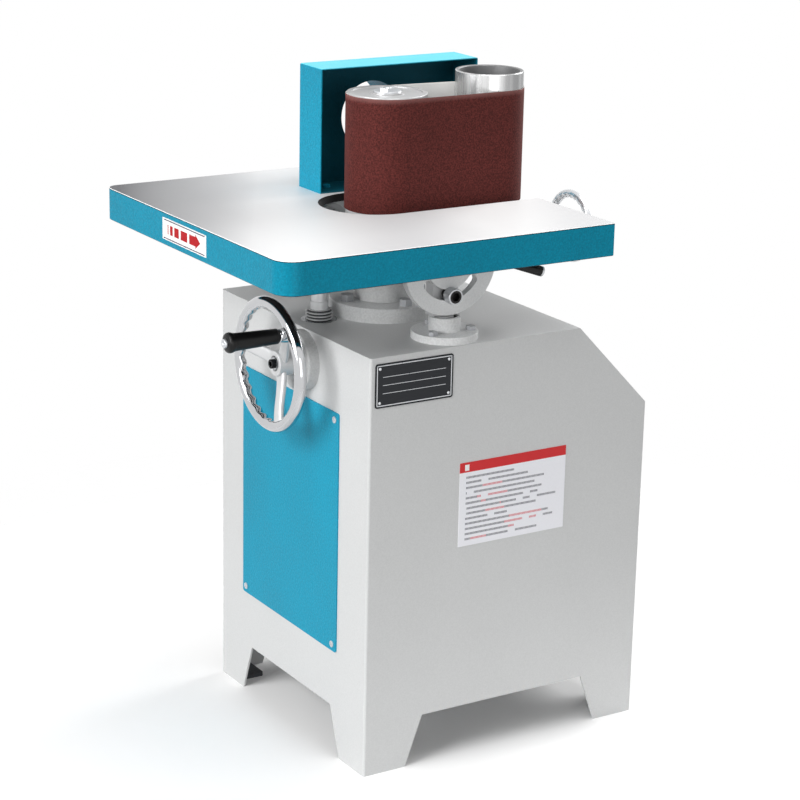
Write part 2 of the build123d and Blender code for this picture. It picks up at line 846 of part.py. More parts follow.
# Machine bolts: hexagon bolts of the spindle housing and the guides, and the arm's clamp screw
guide_bolt_seat = cabinet_height + guide_flange
spindle_bolt_seat = cabinet_height + spindle_flange
with BuildPart() as machine_bolts:
    with BuildSketch(Plane.XY.offset(guide_bolt_seat)):
        with Locations(*guide_bolt_places):
            RegularPolygon(guide_bolt_head, 6)
    extrude(amount=guide_bolt_head_height)
    for x, y in guide_bolt_places:
        post(x, y, guide_bolt_seat - guide_bolt_length, guide_bolt_seat, guide_bolt_radius)
    with BuildSketch(Plane.XY.offset(spindle_bolt_seat)):
        with Locations(*spindle_bolt_places):
            RegularPolygon(spindle_bolt_head, 6)
    extrude(amount=spindle_bolt_head_height)
    for x, y in spindle_bolt_places:
        post(x, y, spindle_bolt_seat - spindle_bolt_length, spindle_bolt_seat, spindle_bolt_radius)
    rod_y(-arm_ear_width, arm_ear_width, ear_screw_x, tension_z, arm_screw_radius)
    rod_y(-arm_ear_width - arm_screw_height, -arm_ear_width, ear_screw_x, tension_z, arm_screw_head)
machine_bolts.part.label = "machine_bolts"
export_step(machine_bolts.part, "parts/machine_bolts.step")

# Platen: flat backing plate behind the front run, on a bracket that stands on the arm
platen_front = -drum_radius
platen_bottom = belt_bottom + platen_margin
platen_top = belt_bottom + belt_width - platen_margin
foot_left = platen_rib_x - platen_foot_length / 2
with BuildPart() as platen:
    block(
        (platen_left, platen_front, platen_bottom),
        (platen_right, platen_front + platen_thickness, platen_top),
    )
    fillet(platen.edges().filter_by(Axis.Z).group_by(Axis.Y)[0], room)
    with BuildSketch(Plane.YZ.offset(platen_rib_x - platen_rib / 2)):
        with BuildLine():
            Polyline(
                (platen_front + platen_thickness, platen_top - platen_margin),
                (platen_front + platen_thickness, platen_bottom),
                (idler_y - arm_width / 2, arm_top + platen_foot),
                (idler_y - arm_width / 2, arm_top),
                (idler_y + arm_width / 2, arm_top),
                (idler_y + arm_width / 2, arm_top + platen_foot),
                (platen_front + platen_thickness + platen_rib_depth, platen_bottom),
                close=True,
            )
        make_face()
    extrude(amount=platen_rib)
    block(
        (foot_left, idler_y - arm_width / 2, arm_top),
        (foot_left + platen_foot_length, idler_y + arm_width / 2, arm_top + platen_foot),
    )
platen.part.label = "platen"
export_step(platen.part, "parts/platen.step")

# Sanding belt: endless abrasive loop round the drive drum and the idler
with BuildPart() as sanding_belt:
    with BuildSketch(Plane.XY.offset(belt_bottom)):
        with Locations((drum_x, 0)):
            Circle(drum_radius + belt_inner_gap + belt_thickness)
        with Locations((idler_x, idler_y)):
            Circle(idler_radius + belt_inner_gap + belt_thickness)
        make_hull()
    extrude(amount=belt_width)
    with BuildSketch(Plane.XY.offset(belt_bottom)):
        with Locations((drum_x, 0)):
            Circle(drum_radius + belt_inner_gap)
        with Locations((idler_x, idler_y)):
            Circle(idler_radius + belt_inner_gap)
        make_hull()
    extrude(amount=belt_width, mode=Mode.SUBTRACT)
sanding_belt.part.label = "sanding_belt"
export_step(sanding_belt.part, "parts/sanding_belt.step")

# Switch plate on the sloped shoulder, with guide collars round the two buttons
with BuildPart() as switch_panel:
    with BuildSketch(shoulder_plane):
        RectangleRounded(switch_width, switch_height, bend_radius)
    extrude(amount=switch_plate)
    with BuildSketch(shoulder_plane.offset(switch_plate)):
        with Locations(*button_places):
            Circle(button_collar_radius)
    extrude(amount=button_collar)
    with BuildSketch(shoulder_plane):
        with Locations(*button_places):
            Circle(button_radius + gap)
    extrude(amount=switch_plate + button_collar, mode=Mode.SUBTRACT)
switch_panel.part.label = "switch_panel"
export_step(switch_panel.part, "parts/switch_panel.step")

for name, place in zip(("start_button", "stop_button"), button_places):
    with BuildPart() as button:
        with BuildSketch(shoulder_plane.offset(-button_stem + button_height)):
            with Locations(place):
                Circle(button_radius)
        extrude(amount=button_stem)
        fillet(button.edges().group_by(Axis((0, 0, 0), shoulder_plane.z_dir))[-1], room)
    button.part.label = name
    export_step(button.part, f"parts/{name}.step")

# Cable gland low on the rear wall
with BuildPart() as cable_gland:
    rod_y(half_depth - sheet, half_depth, gland_x, gland_z, gland_radius)
    with BuildSketch(Plane.XZ.offset(-half_depth)):
        with Locations((gland_x, gland_z)):
            RegularPolygon(gland_nut_radius, 6)
    extrude(amount=-gland_nut)
    rod_y(half_depth + gland_nut, half_depth + gland_length, gland_x, gland_z, gland_radius)
    fillet(cable_gland.edges().group_by(Axis.Y)[-1], bend_radius)
    rod_y(half_depth - sheet, half_depth + gland_length, gland_x, gland_z, gland_bore, Mode.SUBTRACT)
cable_gland.part.label = "cable_gland"
export_step(cable_gland.part, "parts/cable_gland.step")

# Drive shaft: motor shaft carried up through the spindle housing into the drum
with BuildPart() as drive_shaft:
    post(drum_x, 0, shaft_bottom, drum_top, shaft_radius)
    post(drum_x, 0, spindle_body_top + room, drum_bottom + drum_web - gap, shaft_shoulder_radius)
    post(drum_x, 0, drum_top, drum_top + drum_washer + drum_nut + room / 2, shaft_end_nut)
    chamfer(drive_shaft.edges().group_by(Axis.Z)[-1], room / 2)
drive_shaft.part.label = "drive_shaft"
export_step(drive_shaft.part, "parts/drive_shaft.step")

# Drive drum: hollow wheel with a hub and two webs
with BuildPart() as drive_drum:
    post(drum_x, 0, drum_bottom, drum_top, drum_radius)
    fillet(drive_drum.edges().group_by(Axis.Z)[-1], room / 2)
    post(drum_x, 0, drum_bottom, drum_bottom + drum_web, drum_radius - drum_wall, Mode.SUBTRACT)
    post(
        drum_x,
        0,
        drum_bottom + drum_web * 2,
        drum_top - drum_recess - drum_web,
        drum_radius - drum_wall,
        Mode.SUBTRACT,
    )
    post(drum_x, 0, drum_top - drum_recess, drum_top, drum_radius - drum_wall, Mode.SUBTRACT)
    post(drum_x, 0, drum_bottom + drum_web, drum_top, drum_hub_radius)
    post(drum_x, 0, drum_bottom, drum_top, shaft_radius + fit, Mode.SUBTRACT)
drive_drum.part.label = "drive_drum"
export_step(drive_drum.part, "parts/drive_drum.step")

with BuildPart() as drum_nut_set:
    post(drum_x, 0, drum_top, drum_top + drum_washer, drum_washer_radius)
    fillet(drum_nut_set.edges().group_by(Axis.Z)[-1], room / 2)
    with BuildSketch(Plane.XY.offset(drum_top + drum_washer)):
        with Locations((drum_x, 0)):
            RegularPolygon(drum_nut_radius, 6)
    extrude(amount=drum_nut)
    post(drum_x, 0, drum_top, drum_top + drum_washer + drum_nut, shaft_end_nut + fit, Mode.SUBTRACT)
drum_nut_set.part.label = "drum_nut_set"
export_step(drum_nut_set.part, "parts/drum_nut_set.step")

with BuildPart() as rotor:
    post(drum_x, 0, stator_bottom, stator_top, stator_bore - air_gap)
    post(drum_x, 0, stator_bottom, stator_top, shaft_radius + fit, Mode.SUBTRACT)
rotor.part.label = "rotor"
export_step(rotor.part, "parts/rotor.step")

with BuildPart() as cooling_fan:
    post(drum_x, 0, fan_top - fan_height, fan_top, fan_hub_radius)
    with Locations((drum_x, 0, fan_top - fan_height)):
        with PolarLocations((fan_hub_radius - room + fan_radius) / 2, fan_blade_count):
            Box(fan_radius - fan_hub_radius + room, fan_blade, fan_height, align=ON_BASE)
    post(drum_x, 0, fan_top - fan_blade, fan_top, fan_radius)
    post(drum_x, 0, fan_top - fan_height, fan_top, shaft_radius + fit, Mode.SUBTRACT)
cooling_fan.part.label = "cooling_fan"
export_step(cooling_fan.part, "parts/cooling_fan.step")

# Idler block: tongue in the tension arm with a head that holds the idler's axle
block_end = block_start + block_length
tongue_start = channel_start + tension_travel + screw_collar + room / 2 + gap
with BuildPart() as idler_block:
    block(
        (tongue_start, idler_y - tongue_width / 2, tension_z - tongue_height / 2),
        (block_start, idler_y + tongue_width / 2, tension_z + tongue_height / 2),
    )
    block(
        (block_start, idler_y - block_width / 2, arm_bottom),
        (block_end, idler_y + block_width / 2, block_top),
    )
    fillet(idler_block.edges().filter_by(Axis.Z).group_by(Axis.X)[-1], bend_radius)
    post(idler_x, idler_y, block_top - axle_seat, block_top, axle_radius + fit, Mode.SUBTRACT)
    rod_x(tongue_start, block_end, idler_y, tension_z, screw_shank_radius + fit, Mode.SUBTRACT)
idler_block.part.label = "idler_block"
export_step(idler_block.part, "parts/idler_block.step")

with BuildPart() as idler_axle:
    post(idler_x, idler_y, block_top - axle_seat, axle_top, axle_radius)
    post(idler_x, idler_y, block_top, drum_bottom - gap, axle_shoulder_radius)
    chamfer(idler_axle.edges().group_by(Axis.Z)[-1], room / 2)
idler_axle.part.label = "idler_axle"
export_step(idler_axle.part, "parts/idler_axle.step")

with BuildPart() as idler_axle_nut:
    with BuildSketch(Plane.XY.offset(idler_top - idler_top_web_depth + gap)):
        with Locations((idler_x, idler_y)):
            RegularPolygon(axle_nut_radius, 6)
            Circle(axle_radius + fit, mode=Mode.SUBTRACT)
    extrude(amount=axle_nut)
idler_axle_nut.part.label = "idler_axle_nut"
export_step(idler_axle_nut.part, "parts/idler_axle_nut.step")

# Idler drum: polished tube with two webs that hold its bearings
idler_lower_web = drum_bottom
idler_upper_web = idler_top - idler_top_web_depth - idler_bearing_width
with BuildPart() as idler_drum:
    post(idler_x, idler_y, drum_bottom, idler_top, idler_radius)
    post(idler_x, idler_y, drum_bottom, idler_top, idler_radius - idler_wall, Mode.SUBTRACT)
    chamfer(idler_drum.faces().sort_by(Axis.Z)[-1].edges(), room / 2)
    for web in (idler_lower_web, idler_upper_web):
        post(idler_x, idler_y, web, web + idler_bearing_width, idler_radius - idler_wall)
        post(idler_x, idler_y, web, web + idler_bearing_width, idler_bearing_outer + fit, Mode.SUBTRACT)
idler_drum.part.label = "idler_drum"
export_step(idler_drum.part, "parts/idler_drum.step")

with BuildPart() as idler_bearings:
    for web in (idler_lower_web, idler_upper_web):
        post(idler_x, idler_y, web, web + idler_bearing_width, idler_bearing_outer)
        post(idler_x, idler_y, web, web + idler_bearing_width, axle_radius + fit, Mode.SUBTRACT)
idler_bearings.part.label = "idler_bearings"
export_step(idler_bearings.part, "parts/idler_bearings.step")

# Tension screw: shank with thrust collar, threaded into the arm
wheel_back = tension_wheel_x - tension_hub / 2
with BuildPart() as tension_screw:
    rod_x(screw_tip, tongue_start - gap, idler_y, tension_z, screw_radius)
    rod_x(tongue_start - gap - screw_collar, tongue_start - gap, idler_y, tension_z, screw_collar_radius)
    rod_x(tongue_start - gap, wheel_back + tension_hub, idler_y, tension_z, screw_shank_radius)
    rod_x(block_end + gap, block_end + gap + screw_collar, idler_y, tension_z, screw_collar_radius)
tension_screw.part.label = "tension_screw"
export_step(tension_screw.part, "parts/tension_screw.step")

# Tension handwheel on the end of the screw
tension_rim_reach = tension_wheel_radius - tension_rim_radius
with BuildPart() as tension_handwheel:
    with Locations(Location((tension_wheel_x, idler_y, tension_z), ALONG_X)):
        Torus(tension_rim_reach, tension_rim_radius)
    rod_x(wheel_back, wheel_back + tension_hub, idler_y, tension_z, tension_hub_radius)
    for n in range(tension_spoke_count):
        turn = radians(tension_spoke_start + 360 / tension_spoke_count * n)
        spoke_plane = Plane(
            origin=(tension_wheel_x, idler_y, tension_z), x_dir=(1, 0, 0), z_dir=(0, -sin(turn), cos(turn))
        )
        with BuildSketch(spoke_plane):
            with Locations((0, tension_rim_reach / 2)):
                Rectangle(tension_spoke_thickness, tension_rim_reach)
        extrude(amount=tension_spoke / 2, both=True)
    rod_x(wheel_back, wheel_back + tension_hub, idler_y, tension_z, screw_shank_radius + fit, Mode.SUBTRACT)
tension_handwheel.part.label = "tension_handwheel"
export_step(tension_handwheel.part, "parts/tension_handwheel.step")

# Lift columns: round bars with a flat lug on top that carries the tilt pivot
lug_bottom = guide_top + gap
for name, side in (("front_column", -1), ("rear_column", 1)):
    lug_plane = Plane(origin=(drum_x, side * lug_back, 0), x_dir=(1, 0, 0), z_dir=(0, -1, 0))
    with BuildPart() as column:
        post(drum_x, side * column_y, column_bottom, lug_bottom, column_radius)
        chamfer(column.edges().group_by(Axis.Z)[0], room)
        with BuildSketch(lug_plane):
            with Locations((0, (lug_bottom + tilt_z) / 2)):
                Rectangle(lug_width, tilt_z - lug_bottom)
            with Locations((0, tilt_z)):
                Circle(lug_width / 2)
            with Locations((0, tilt_z)):
                Circle(pin_radius + fit, mode=Mode.SUBTRACT)
            with Locations((0, tilt_z - clamp_reach)):
                Circle(clamp_radius + fit, mode=Mode.SUBTRACT)
        extrude(amount=-side * lug_thickness)
    column.part.label = name
    export_step(column.part, f"parts/{name}.step")

# Rack post: round bar with ring teeth, necked above, that pushes the yoke up
rack_bottom = rack_top - rack_length
tooth_tip = tooth_share * pitch / 2 - module * tan(radians(pressure_angle))
tooth_root = tooth_share * pitch / 2 + dedendum_ratio * module * tan(radians(pressure_angle))
first_tooth = lift_z + pitch / 2
teeth_up = int((rack_top - first_tooth - tooth_root) / pitch)
teeth_down = int((first_tooth - rack_bottom - tooth_root) / pitch)
with BuildPart() as rack_post:
    post(post_x, 0, rack_bottom - post_tail, rack_top, rack_root)
    for n in range(-teeth_down, teeth_up + 1):
        tooth_z = first_tooth + n * pitch
        with BuildSketch(Plane.XZ):
            with BuildLine():
                Polyline(
                    (post_x, tooth_z - tooth_root),
                    (post_x + rack_root, tooth_z - tooth_root),
                    (post_x + rack_outer, tooth_z - tooth_tip),
                    (post_x + rack_outer, tooth_z + tooth_tip),
                    (post_x + rack_root, tooth_z + tooth_root),
                    (post_x, tooth_z + tooth_root),
                    close=True,
                )
            make_face()
        revolve(axis=Axis((post_x, 0, 0), (0, 0, 1)))
    post(post_x, 0, rack_top, post_shoulder_bottom, post_neck_radius)
    post(post_x, 0, post_shoulder_bottom, yoke_bottom, post_shoulder_radius)
    post(post_x, 0, yoke_bottom, yoke_bottom + yoke_thickness + post_nut, post_stud_radius)
rack_post.part.label = "rack_post"
export_step(rack_post.part, "parts/rack_post.step")

# Lift yoke: flat U that joins the rack post to both columns under the table
yoke_top = yoke_bottom + yoke_thickness
with BuildPart() as lift_yoke:
    block(
        (yoke_left, -lug_back, yoke_bottom),
        (yoke_left + yoke_cross, lug_back, yoke_top),
    )
    for side in (-1, 1):
        with Locations((yoke_left, side * lug_back, yoke_bottom)):
            Box(
                yoke_arm_right - yoke_left,
                yoke_arm_width,
                yoke_thickness,
                align=(Align.MIN, inner_side[side], Align.MIN),
            )
    fillet(lift_yoke.edges().filter_by(Axis.Z).group_by(Axis.X)[0], bend_radius * 2)
    post(post_x, 0, yoke_bottom, yoke_top, post_stud_radius + fit, Mode.SUBTRACT)
    for x, y in stop_places:
        post(x, y, yoke_bottom, yoke_top, stop_radius + fit, Mode.SUBTRACT)
lift_yoke.part.label = "lift_yoke"
export_step(lift_yoke.part, "parts/lift_yoke.step")

# Yoke fixings: nut on the rack post and two level stops that the level table rests on
with BuildPart() as yoke_fixings:
    with BuildSketch(Plane.XY.offset(yoke_top)):
        with Locations((post_x, 0)):
            RegularPolygon(post_nut_radius, 6)
            Circle(post_stud_radius + fit, mode=Mode.SUBTRACT)
    extrude(amount=post_nut)
    for x, y in stop_places:
        post(x, y, yoke_bottom, plate_bottom - gap, stop_radius)
    with BuildSketch(Plane.XY.offset(yoke_top)):
        with Locations(*stop_places):
            RegularPolygon(stop_nut_radius, 6)
    extrude(amount=stop_nut)
yoke_fixings.part.label = "yoke_fixings"
export_step(yoke_fixings.part, "parts/yoke_fixings.step")

# Tilt fixings: socket-head clamp screws through the arc slots into the lugs, and the pivot pins, of which the
# front one reaches out to the lock lever and the rear one ends in a head
pin_front = trunnion_face + gap + lever_hub + room
clamp_z = tilt_z - clamp_reach
clamp_under = trunnion_face + gap
with BuildPart() as tilt_fixings:
    rod_y(-clamp_under, -lug_back, drum_x, clamp_z, clamp_radius)
    rod_y(-clamp_under - clamp_head, -clamp_under, drum_x, clamp_z, clamp_head_radius)
    rod_y(lug_back, clamp_under, drum_x, clamp_z, clamp_radius)
    rod_y(clamp_under, clamp_under + clamp_head, drum_x, clamp_z, clamp_head_radius)
    fillet(tilt_fixings.edges().group_by(Axis.Y)[0], room / 2)
    fillet(tilt_fixings.edges().group_by(Axis.Y)[-1], room / 2)
    with BuildSketch(Plane.XZ.offset(clamp_under + clamp_head)):
        with Locations((drum_x, clamp_z)):
            RegularPolygon(clamp_socket, 6)
    extrude(amount=-clamp_socket_depth, mode=Mode.SUBTRACT)
    with BuildSketch(Plane.XZ.offset(-clamp_under - clamp_head)):
        with Locations((drum_x, clamp_z)):
            RegularPolygon(clamp_socket, 6)
    extrude(amount=clamp_socket_depth, mode=Mode.SUBTRACT)
    rod_y(-pin_front, -lug_back, drum_x, tilt_z, pin_radius)
    chamfer(tilt_fixings.edges().group_by(Axis.Y)[0], room / 2)
    rod_y(-lug_back, -lug_back + pin_head, drum_x, tilt_z, pin_head_radius)
    rod_y(lug_back - pin_head, lug_back, drum_x, tilt_z, pin_head_radius)
    rod_y(lug_back, clamp_under + pin_head, drum_x, tilt_z, pin_radius)
    rod_y(clamp_under, clamp_under + pin_head, drum_x, tilt_z, pin_head_radius)
tilt_fixings.part.label = "tilt_fixings"
export_step(tilt_fixings.part, "parts/tilt_fixings.step")

# Table top: ground plate, rebated over its skirt, with a slot round the belt open at the right
with BuildPart() as table_top:
    with BuildSketch(Plane.XY.offset(table_z - table_lip)):
        table_outline(0)
    extrude(amount=table_lip)
    with BuildSketch(Plane.XY.offset(plate_bottom)):
        table_outline(skirt_wall)
    extrude(amount=table_plate - table_lip)
    with BuildSketch(Plane.XY.offset(plate_bottom)):
        with Locations((slot_center_x, 0)):
            Circle(slot_half)
            Rectangle(table_length, 2 * slot_half, align=(Align.MIN, Align.CENTER))
    extrude(amount=table_plate, mode=Mode.SUBTRACT)
    chamfer(table_top.faces().sort_by(Axis.Z)[-1].edges(), table_edge)
    for x, y in trunnion_screw_places:
        post(x, y, plate_bottom, trunnion_screw_top, trunnion_screw_radius + fit, Mode.SUBTRACT)
    for x, y in hood_screw_places:
        post(x, y, table_z - hood_screw_depth, table_z, hood_screw_radius + fit, Mode.SUBTRACT)
table_top.part.label = "table_top"
export_step(table_top.part, "parts/table_top.step")

# Table skirt: painted band round the plate, open where the slot runs out
with BuildPart() as table_skirt:
    with BuildSketch(Plane.XY.offset(skirt_bottom)):
        table_outline(0)
    extrude(amount=skirt_height - table_lip)
    with BuildSketch(Plane.XY.offset(skirt_bottom)):
        table_outline(skirt_wall)
    extrude(amount=skirt_height - table_lip, mode=Mode.SUBTRACT)
    block(
        (table_right - skirt_wall, -slot_half, skirt_bottom),
        (table_right, slot_half, table_z),
        Mode.SUBTRACT,
    )
    fillet(table_skirt.faces().sort_by(Axis.Z)[0].edges(), room)
table_skirt.part.label = "table_skirt"
export_step(table_skirt.part, "parts/table_skirt.step")

# Trunnions: round plates with an arc slot, bolted under the table front and rear
slot_path = Edge.make_circle(
    clamp_reach, start_angle=270 - arc_slot_half_angle, end_angle=270 + arc_slot_half_angle
)
flange_half = sqrt(trunnion_radius**2 - (plate_bottom - tilt_z) ** 2)
for name, side in (("front_trunnion", -1), ("rear_trunnion", 1)):
    face_plane = Plane(origin=(drum_x, side * trunnion_face, tilt_z), x_dir=(1, 0, 0), z_dir=(0, -1, 0))
    with BuildPart() as trunnion:
        with BuildSketch(face_plane) as disc_outline:
            Circle(trunnion_radius)
            with Locations((0, plate_bottom - tilt_z)):
                Rectangle(
                    trunnion_radius * 2,
                    trunnion_radius,
                    align=(Align.CENTER, Align.MIN),
                    mode=Mode.SUBTRACT,
                )
            SlotArc(slot_path, arc_slot_outer - arc_slot_inner, mode=Mode.SUBTRACT)
            Circle(pin_radius + fit, mode=Mode.SUBTRACT)
        extrude(amount=side * trunnion_thickness)
        with Locations((drum_x, side * trunnion_face, plate_bottom)):
            Box(
                2 * flange_half,
                trunnion_thickness + trunnion_flange_depth,
                trunnion_flange,
                align=(Align.CENTER, inner_side[side], Align.MAX),
            )
        for x, y in trunnion_screw_places:
            post(x, y, flange_bottom, plate_bottom, trunnion_screw_radius + fit, Mode.SUBTRACT)
    trunnion.part.label = name
    export_step(trunnion.part, f"parts/{name}.step")

# Table screws: trunnion bolts from below and hood screws from above
with BuildPart() as table_screws:
    with BuildSketch(Plane.XY.offset(flange_bottom - trunnion_screw_head_height)):
        with Locations(*trunnion_screw_places):
            RegularPolygon(trunnion_screw_head, 6)
    extrude(amount=trunnion_screw_head_height)
    for x, y in trunnion_screw_places:
        post(x, y, flange_bottom, trunnion_screw_top - gap, trunnion_screw_radius)
    for x, y in hood_screw_places:
        head_bottom = table_z + hood_sheet
        post(x, y, table_z - hood_screw_depth + gap, head_bottom, hood_screw_radius)
        post(x, y, head_bottom, head_bottom + hood_screw_height, hood_screw_head)
table_screws.part.label = "table_screws"
export_step(table_screws.part, "parts/table_screws.step")

# Dust hood: folded sheet box, open to the belt, standing on the table
with BuildPart() as dust_hood:
    block((hood_left, hood_front, table_z), (hood_right, hood_back, table_z + hood_height))
    fillet(dust_hood.edges().filter_by(Axis.Y).group_by(Axis.Z)[-1], hood_bend)
    fillet(dust_hood.edges().group_by(Axis.Y)[-1].group_by(Axis.Z)[-1], hood_bend * 0.9)
    block(
        (hood_left + hood_sheet, hood_front, table_z + hood_sheet),
        (hood_right - hood_sheet, hood_back - hood_sheet, table_z + hood_height - hood_sheet),
        Mode.SUBTRACT,
    )
    rod_y(hood_back - hood_sheet, hood_back, spigot_x, spigot_z, spigot_bore, Mode.SUBTRACT)
    for x, y in hood_screw_places:
        post(x, y, table_z, table_z + hood_sheet, hood_screw_radius + fit, Mode.SUBTRACT)
dust_hood.part.label = "dust_hood"
export_step(dust_hood.part, "parts/dust_hood.step")

# Dust spigot: round stub behind the hood for an extraction hose
with BuildPart() as dust_spigot:
    rod_y(hood_back, hood_back + spigot_length, spigot_x, spigot_z, spigot_radius)
    rod_y(hood_back, hood_back + spigot_length, spigot_x, spigot_z, spigot_bore, Mode.SUBTRACT)
dust_spigot.part.label = "dust_spigot"
export_step(dust_spigot.part, "parts/dust_spigot.step")

# Direction sign on the table's left edge
with BuildPart() as arrow_sign:
    with BuildSketch(Plane.YZ.offset(table_left)):
        with Locations((sign_y, sign_top - sign_height / 2)):
            Rectangle(sign_length, sign_height)
    extrude(amount=-sign_thickness)
arrow_sign.part.label = "arrow_sign"
export_step(arrow_sign.part, "parts/arrow_sign.step")

# Lock lever on the front pivot pin, bent down at the elbow, and its tapered grip
lever_y = -(trunnion_face + gap + lever_hub / 2)
lever_plane = Plane(
    origin=(drum_x, lever_y, tilt_z),
    x_dir=(0, 1, 0),
    z_dir=(cos(radians(lever_droop)), 0, -sin(radians(lever_droop))),
)
grip_plane = Plane(
    origin=lever_plane.offset(lever_reach).origin,
    x_dir=(0, 1, 0),
    z_dir=(cos(radians(grip_droop)), 0, -sin(radians(grip_droop))),
)
elbow = (lever_reach * cos(radians(lever_droop)), -lever_reach * sin(radians(lever_droop)))
rod_end = (
    elbow[0] + grip_length * cos(radians(grip_droop)),
    elbow[1] - grip_length * sin(radians(grip_droop)),
)
with BuildPart() as lock_lever:
    rod_y(lever_y - lever_hub / 2, lever_y + lever_hub / 2, drum_x, tilt_z, lever_hub_radius)
    fillet(lock_lever.edges().group_by(Axis.Y)[0], room)
    with BuildLine(Plane(origin=(drum_x, lever_y, tilt_z), x_dir=(1, 0, 0), z_dir=(0, -1, 0))):
        FilletPolyline((0, 0), elbow, rod_end, radius=lever_bend)
    with BuildSketch(lever_plane):
        Circle(lever_rod_radius)
    sweep()
    rod_y(lever_y - lever_hub / 2, lever_y + lever_hub / 2, drum_x, tilt_z, pin_radius + fit, Mode.SUBTRACT)
    with BuildSketch(grip_plane.offset(grip_length)):
        Circle(grip_large_radius)
    extrude(amount=grip_cap)
    fillet(lock_lever.edges().group_by(Axis((0, 0, 0), grip_plane.z_dir))[-1], room / 2)
lock_lever.part.label = "lock_lever"
export_step(lock_lever.part, "parts/lock_lever.step")

with BuildPart() as lever_grip:
    with BuildSketch(grip_plane.offset(room)):
        Circle(grip_small_radius)
    with BuildSketch(grip_plane.offset(grip_length)):
        Circle(grip_large_radius)
    loft()
    with BuildSketch(grip_plane):
        Circle(lever_rod_radius + fit)
    extrude(amount=grip_length, mode=Mode.SUBTRACT)
lever_grip.part.label = "lever_grip"
export_step(lever_grip.part, "parts/lever_grip.step")

# Lift shaft: handwheel spindle with a pinion cut on its inner end, in mesh with the rings of the rack post
pinion_left = post_x - pinion_width / 2
pinion_tip = pinion_pitch_radius + module
pinion_root = pinion_pitch_radius - dedendum_ratio * module
flank = tan(radians(pressure_angle))
half_tip = tooth_share * pitch / 2 - module * flank
half_pitch = tooth_share * pitch / 2
half_root = tooth_share * pitch / 2 + module * flank / 2
pinion_plane = Plane(origin=(pinion_left, lift_y, lift_z), x_dir=(0, 1, 0), z_dir=(1, 0, 0))
with BuildPart() as lift_shaft:
    rod_x(wheel_hub_face, pinion_left + pinion_width + room, lift_y, lift_z, lift_shaft_radius)
    with BuildSketch(pinion_plane):
        Circle(pinion_root)
        with PolarLocations(0, pinion_teeth):
            Polygon(
                (pinion_root - module, -half_root),
                (pinion_pitch_radius, -half_pitch),
                (pinion_tip, -half_tip),
                (pinion_tip, half_tip),
                (pinion_pitch_radius, half_pitch),
                (pinion_root - module, half_root),
                align=None,
            )
    extrude(amount=pinion_width)
lift_shaft.part.label = "lift_shaft"
export_step(lift_shaft.part, "parts/lift_shaft.step")

# Lift handwheel: round rim, dished spokes and hub
wheel_reach = wheel_radius - wheel_rim_radius
with BuildPart() as lift_handwheel:
    rod_x(wheel_hub_face, hub_back, lift_y, lift_z, wheel_hub_radius)
    fillet(lift_handwheel.edges().group_by(Axis.X)[0], room)
    with Locations(Location((wheel_plane, lift_y, lift_z), ALONG_X)):
        Torus(wheel_reach, wheel_rim_radius)
    for n in range(3):
        turn = radians(handle_angle + 120 * n)
        spoke_plane = Plane(
            origin=(wheel_plane, lift_y, lift_z), x_dir=(1, 0, 0), z_dir=(0, -sin(turn), cos(turn))
        )
        with BuildSketch(spoke_plane):
            with BuildLine():
                Polyline(
                    (wheel_dish - wheel_spoke_thickness / 2, wheel_hub_radius / 2),
                    (wheel_dish + wheel_spoke_thickness / 2, wheel_hub_radius / 2),
                    (wheel_spoke_thickness / 2, wheel_reach),
                    (-wheel_spoke_thickness / 2, wheel_reach),
                    close=True,
                )
            make_face()
        extrude(amount=wheel_spoke_width / 2, both=True)
    handle_y = lift_y + handle_offset * cos(radians(handle_angle))
    handle_z = lift_z + handle_offset * sin(radians(handle_angle))
    handle_seat = wheel_plane - wheel_spoke_thickness / 2 - handle_boss
    rod_x(handle_seat, wheel_plane + wheel_spoke_thickness, handle_y, handle_z, handle_boss_radius)
    rod_x(wheel_hub_face, hub_back, lift_y, lift_z, lift_shaft_radius + fit, Mode.SUBTRACT)
    rod_x(
        handle_seat,
        wheel_plane + wheel_spoke_thickness,
        handle_y,
        handle_z,
        handle_spindle_radius + fit,
        Mode.SUBTRACT,
    )
lift_handwheel.part.label = "lift_handwheel"
export_step(lift_handwheel.part, "parts/lift_handwheel.step")

# Handwheel fixings: screw in the shaft end and the shoulder screw that the grip turns on
grip_start = handle_seat - gap
grip_end = grip_start - handle_length
with BuildPart() as handwheel_fixings:
    rod_x(grip_end - gap, wheel_plane + wheel_spoke_thickness, handle_y, handle_z, handle_spindle_radius)
    rod_x(grip_end - gap - handle_cap, grip_end - gap, handle_y, handle_z, handle_cap_radius)
    fillet(handwheel_fixings.edges().group_by(Axis.X)[0], room / 2)
    rod_x(wheel_hub_face - wheel_screw, wheel_hub_face, lift_y, lift_z, wheel_screw_radius)
handwheel_fixings.part.label = "handwheel_fixings"
export_step(handwheel_fixings.part, "parts/handwheel_fixings.step")

# Handle grip: turned grip, free on its shoulder screw
with BuildPart() as handle_grip:
    with BuildSketch(Plane(origin=(grip_end, handle_y, handle_z), x_dir=(1, 0, 0), z_dir=(0, -1, 0))):
        with BuildLine():
            profile = Polyline(
                (handle_length, handle_spindle_radius + fit),
                (handle_length, handle_small_radius),
                (handle_flare, handle_large_radius),
            )
            Spline(profile @ 1, (handle_flare / 2, handle_flare_radius), (0, handle_large_radius))
            Polyline((0, handle_large_radius), (0, handle_spindle_radius + fit), profile @ 0)
        make_face()
    revolve(axis=Axis((grip_end, handle_y, handle_z), (1, 0, 0)))
handle_grip.part.label = "handle_grip"
export_step(handle_grip.part, "parts/handle_grip.step")
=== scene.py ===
"""Stationary edge belt sander: painted sheet cabinet, upright belt, lifting and tilting table, dust hood."""
from math import acos, atan2, cos, hypot, pi, radians, sin

import bmesh
import bpy
import numpy as np
from mathutils import Matrix, Vector


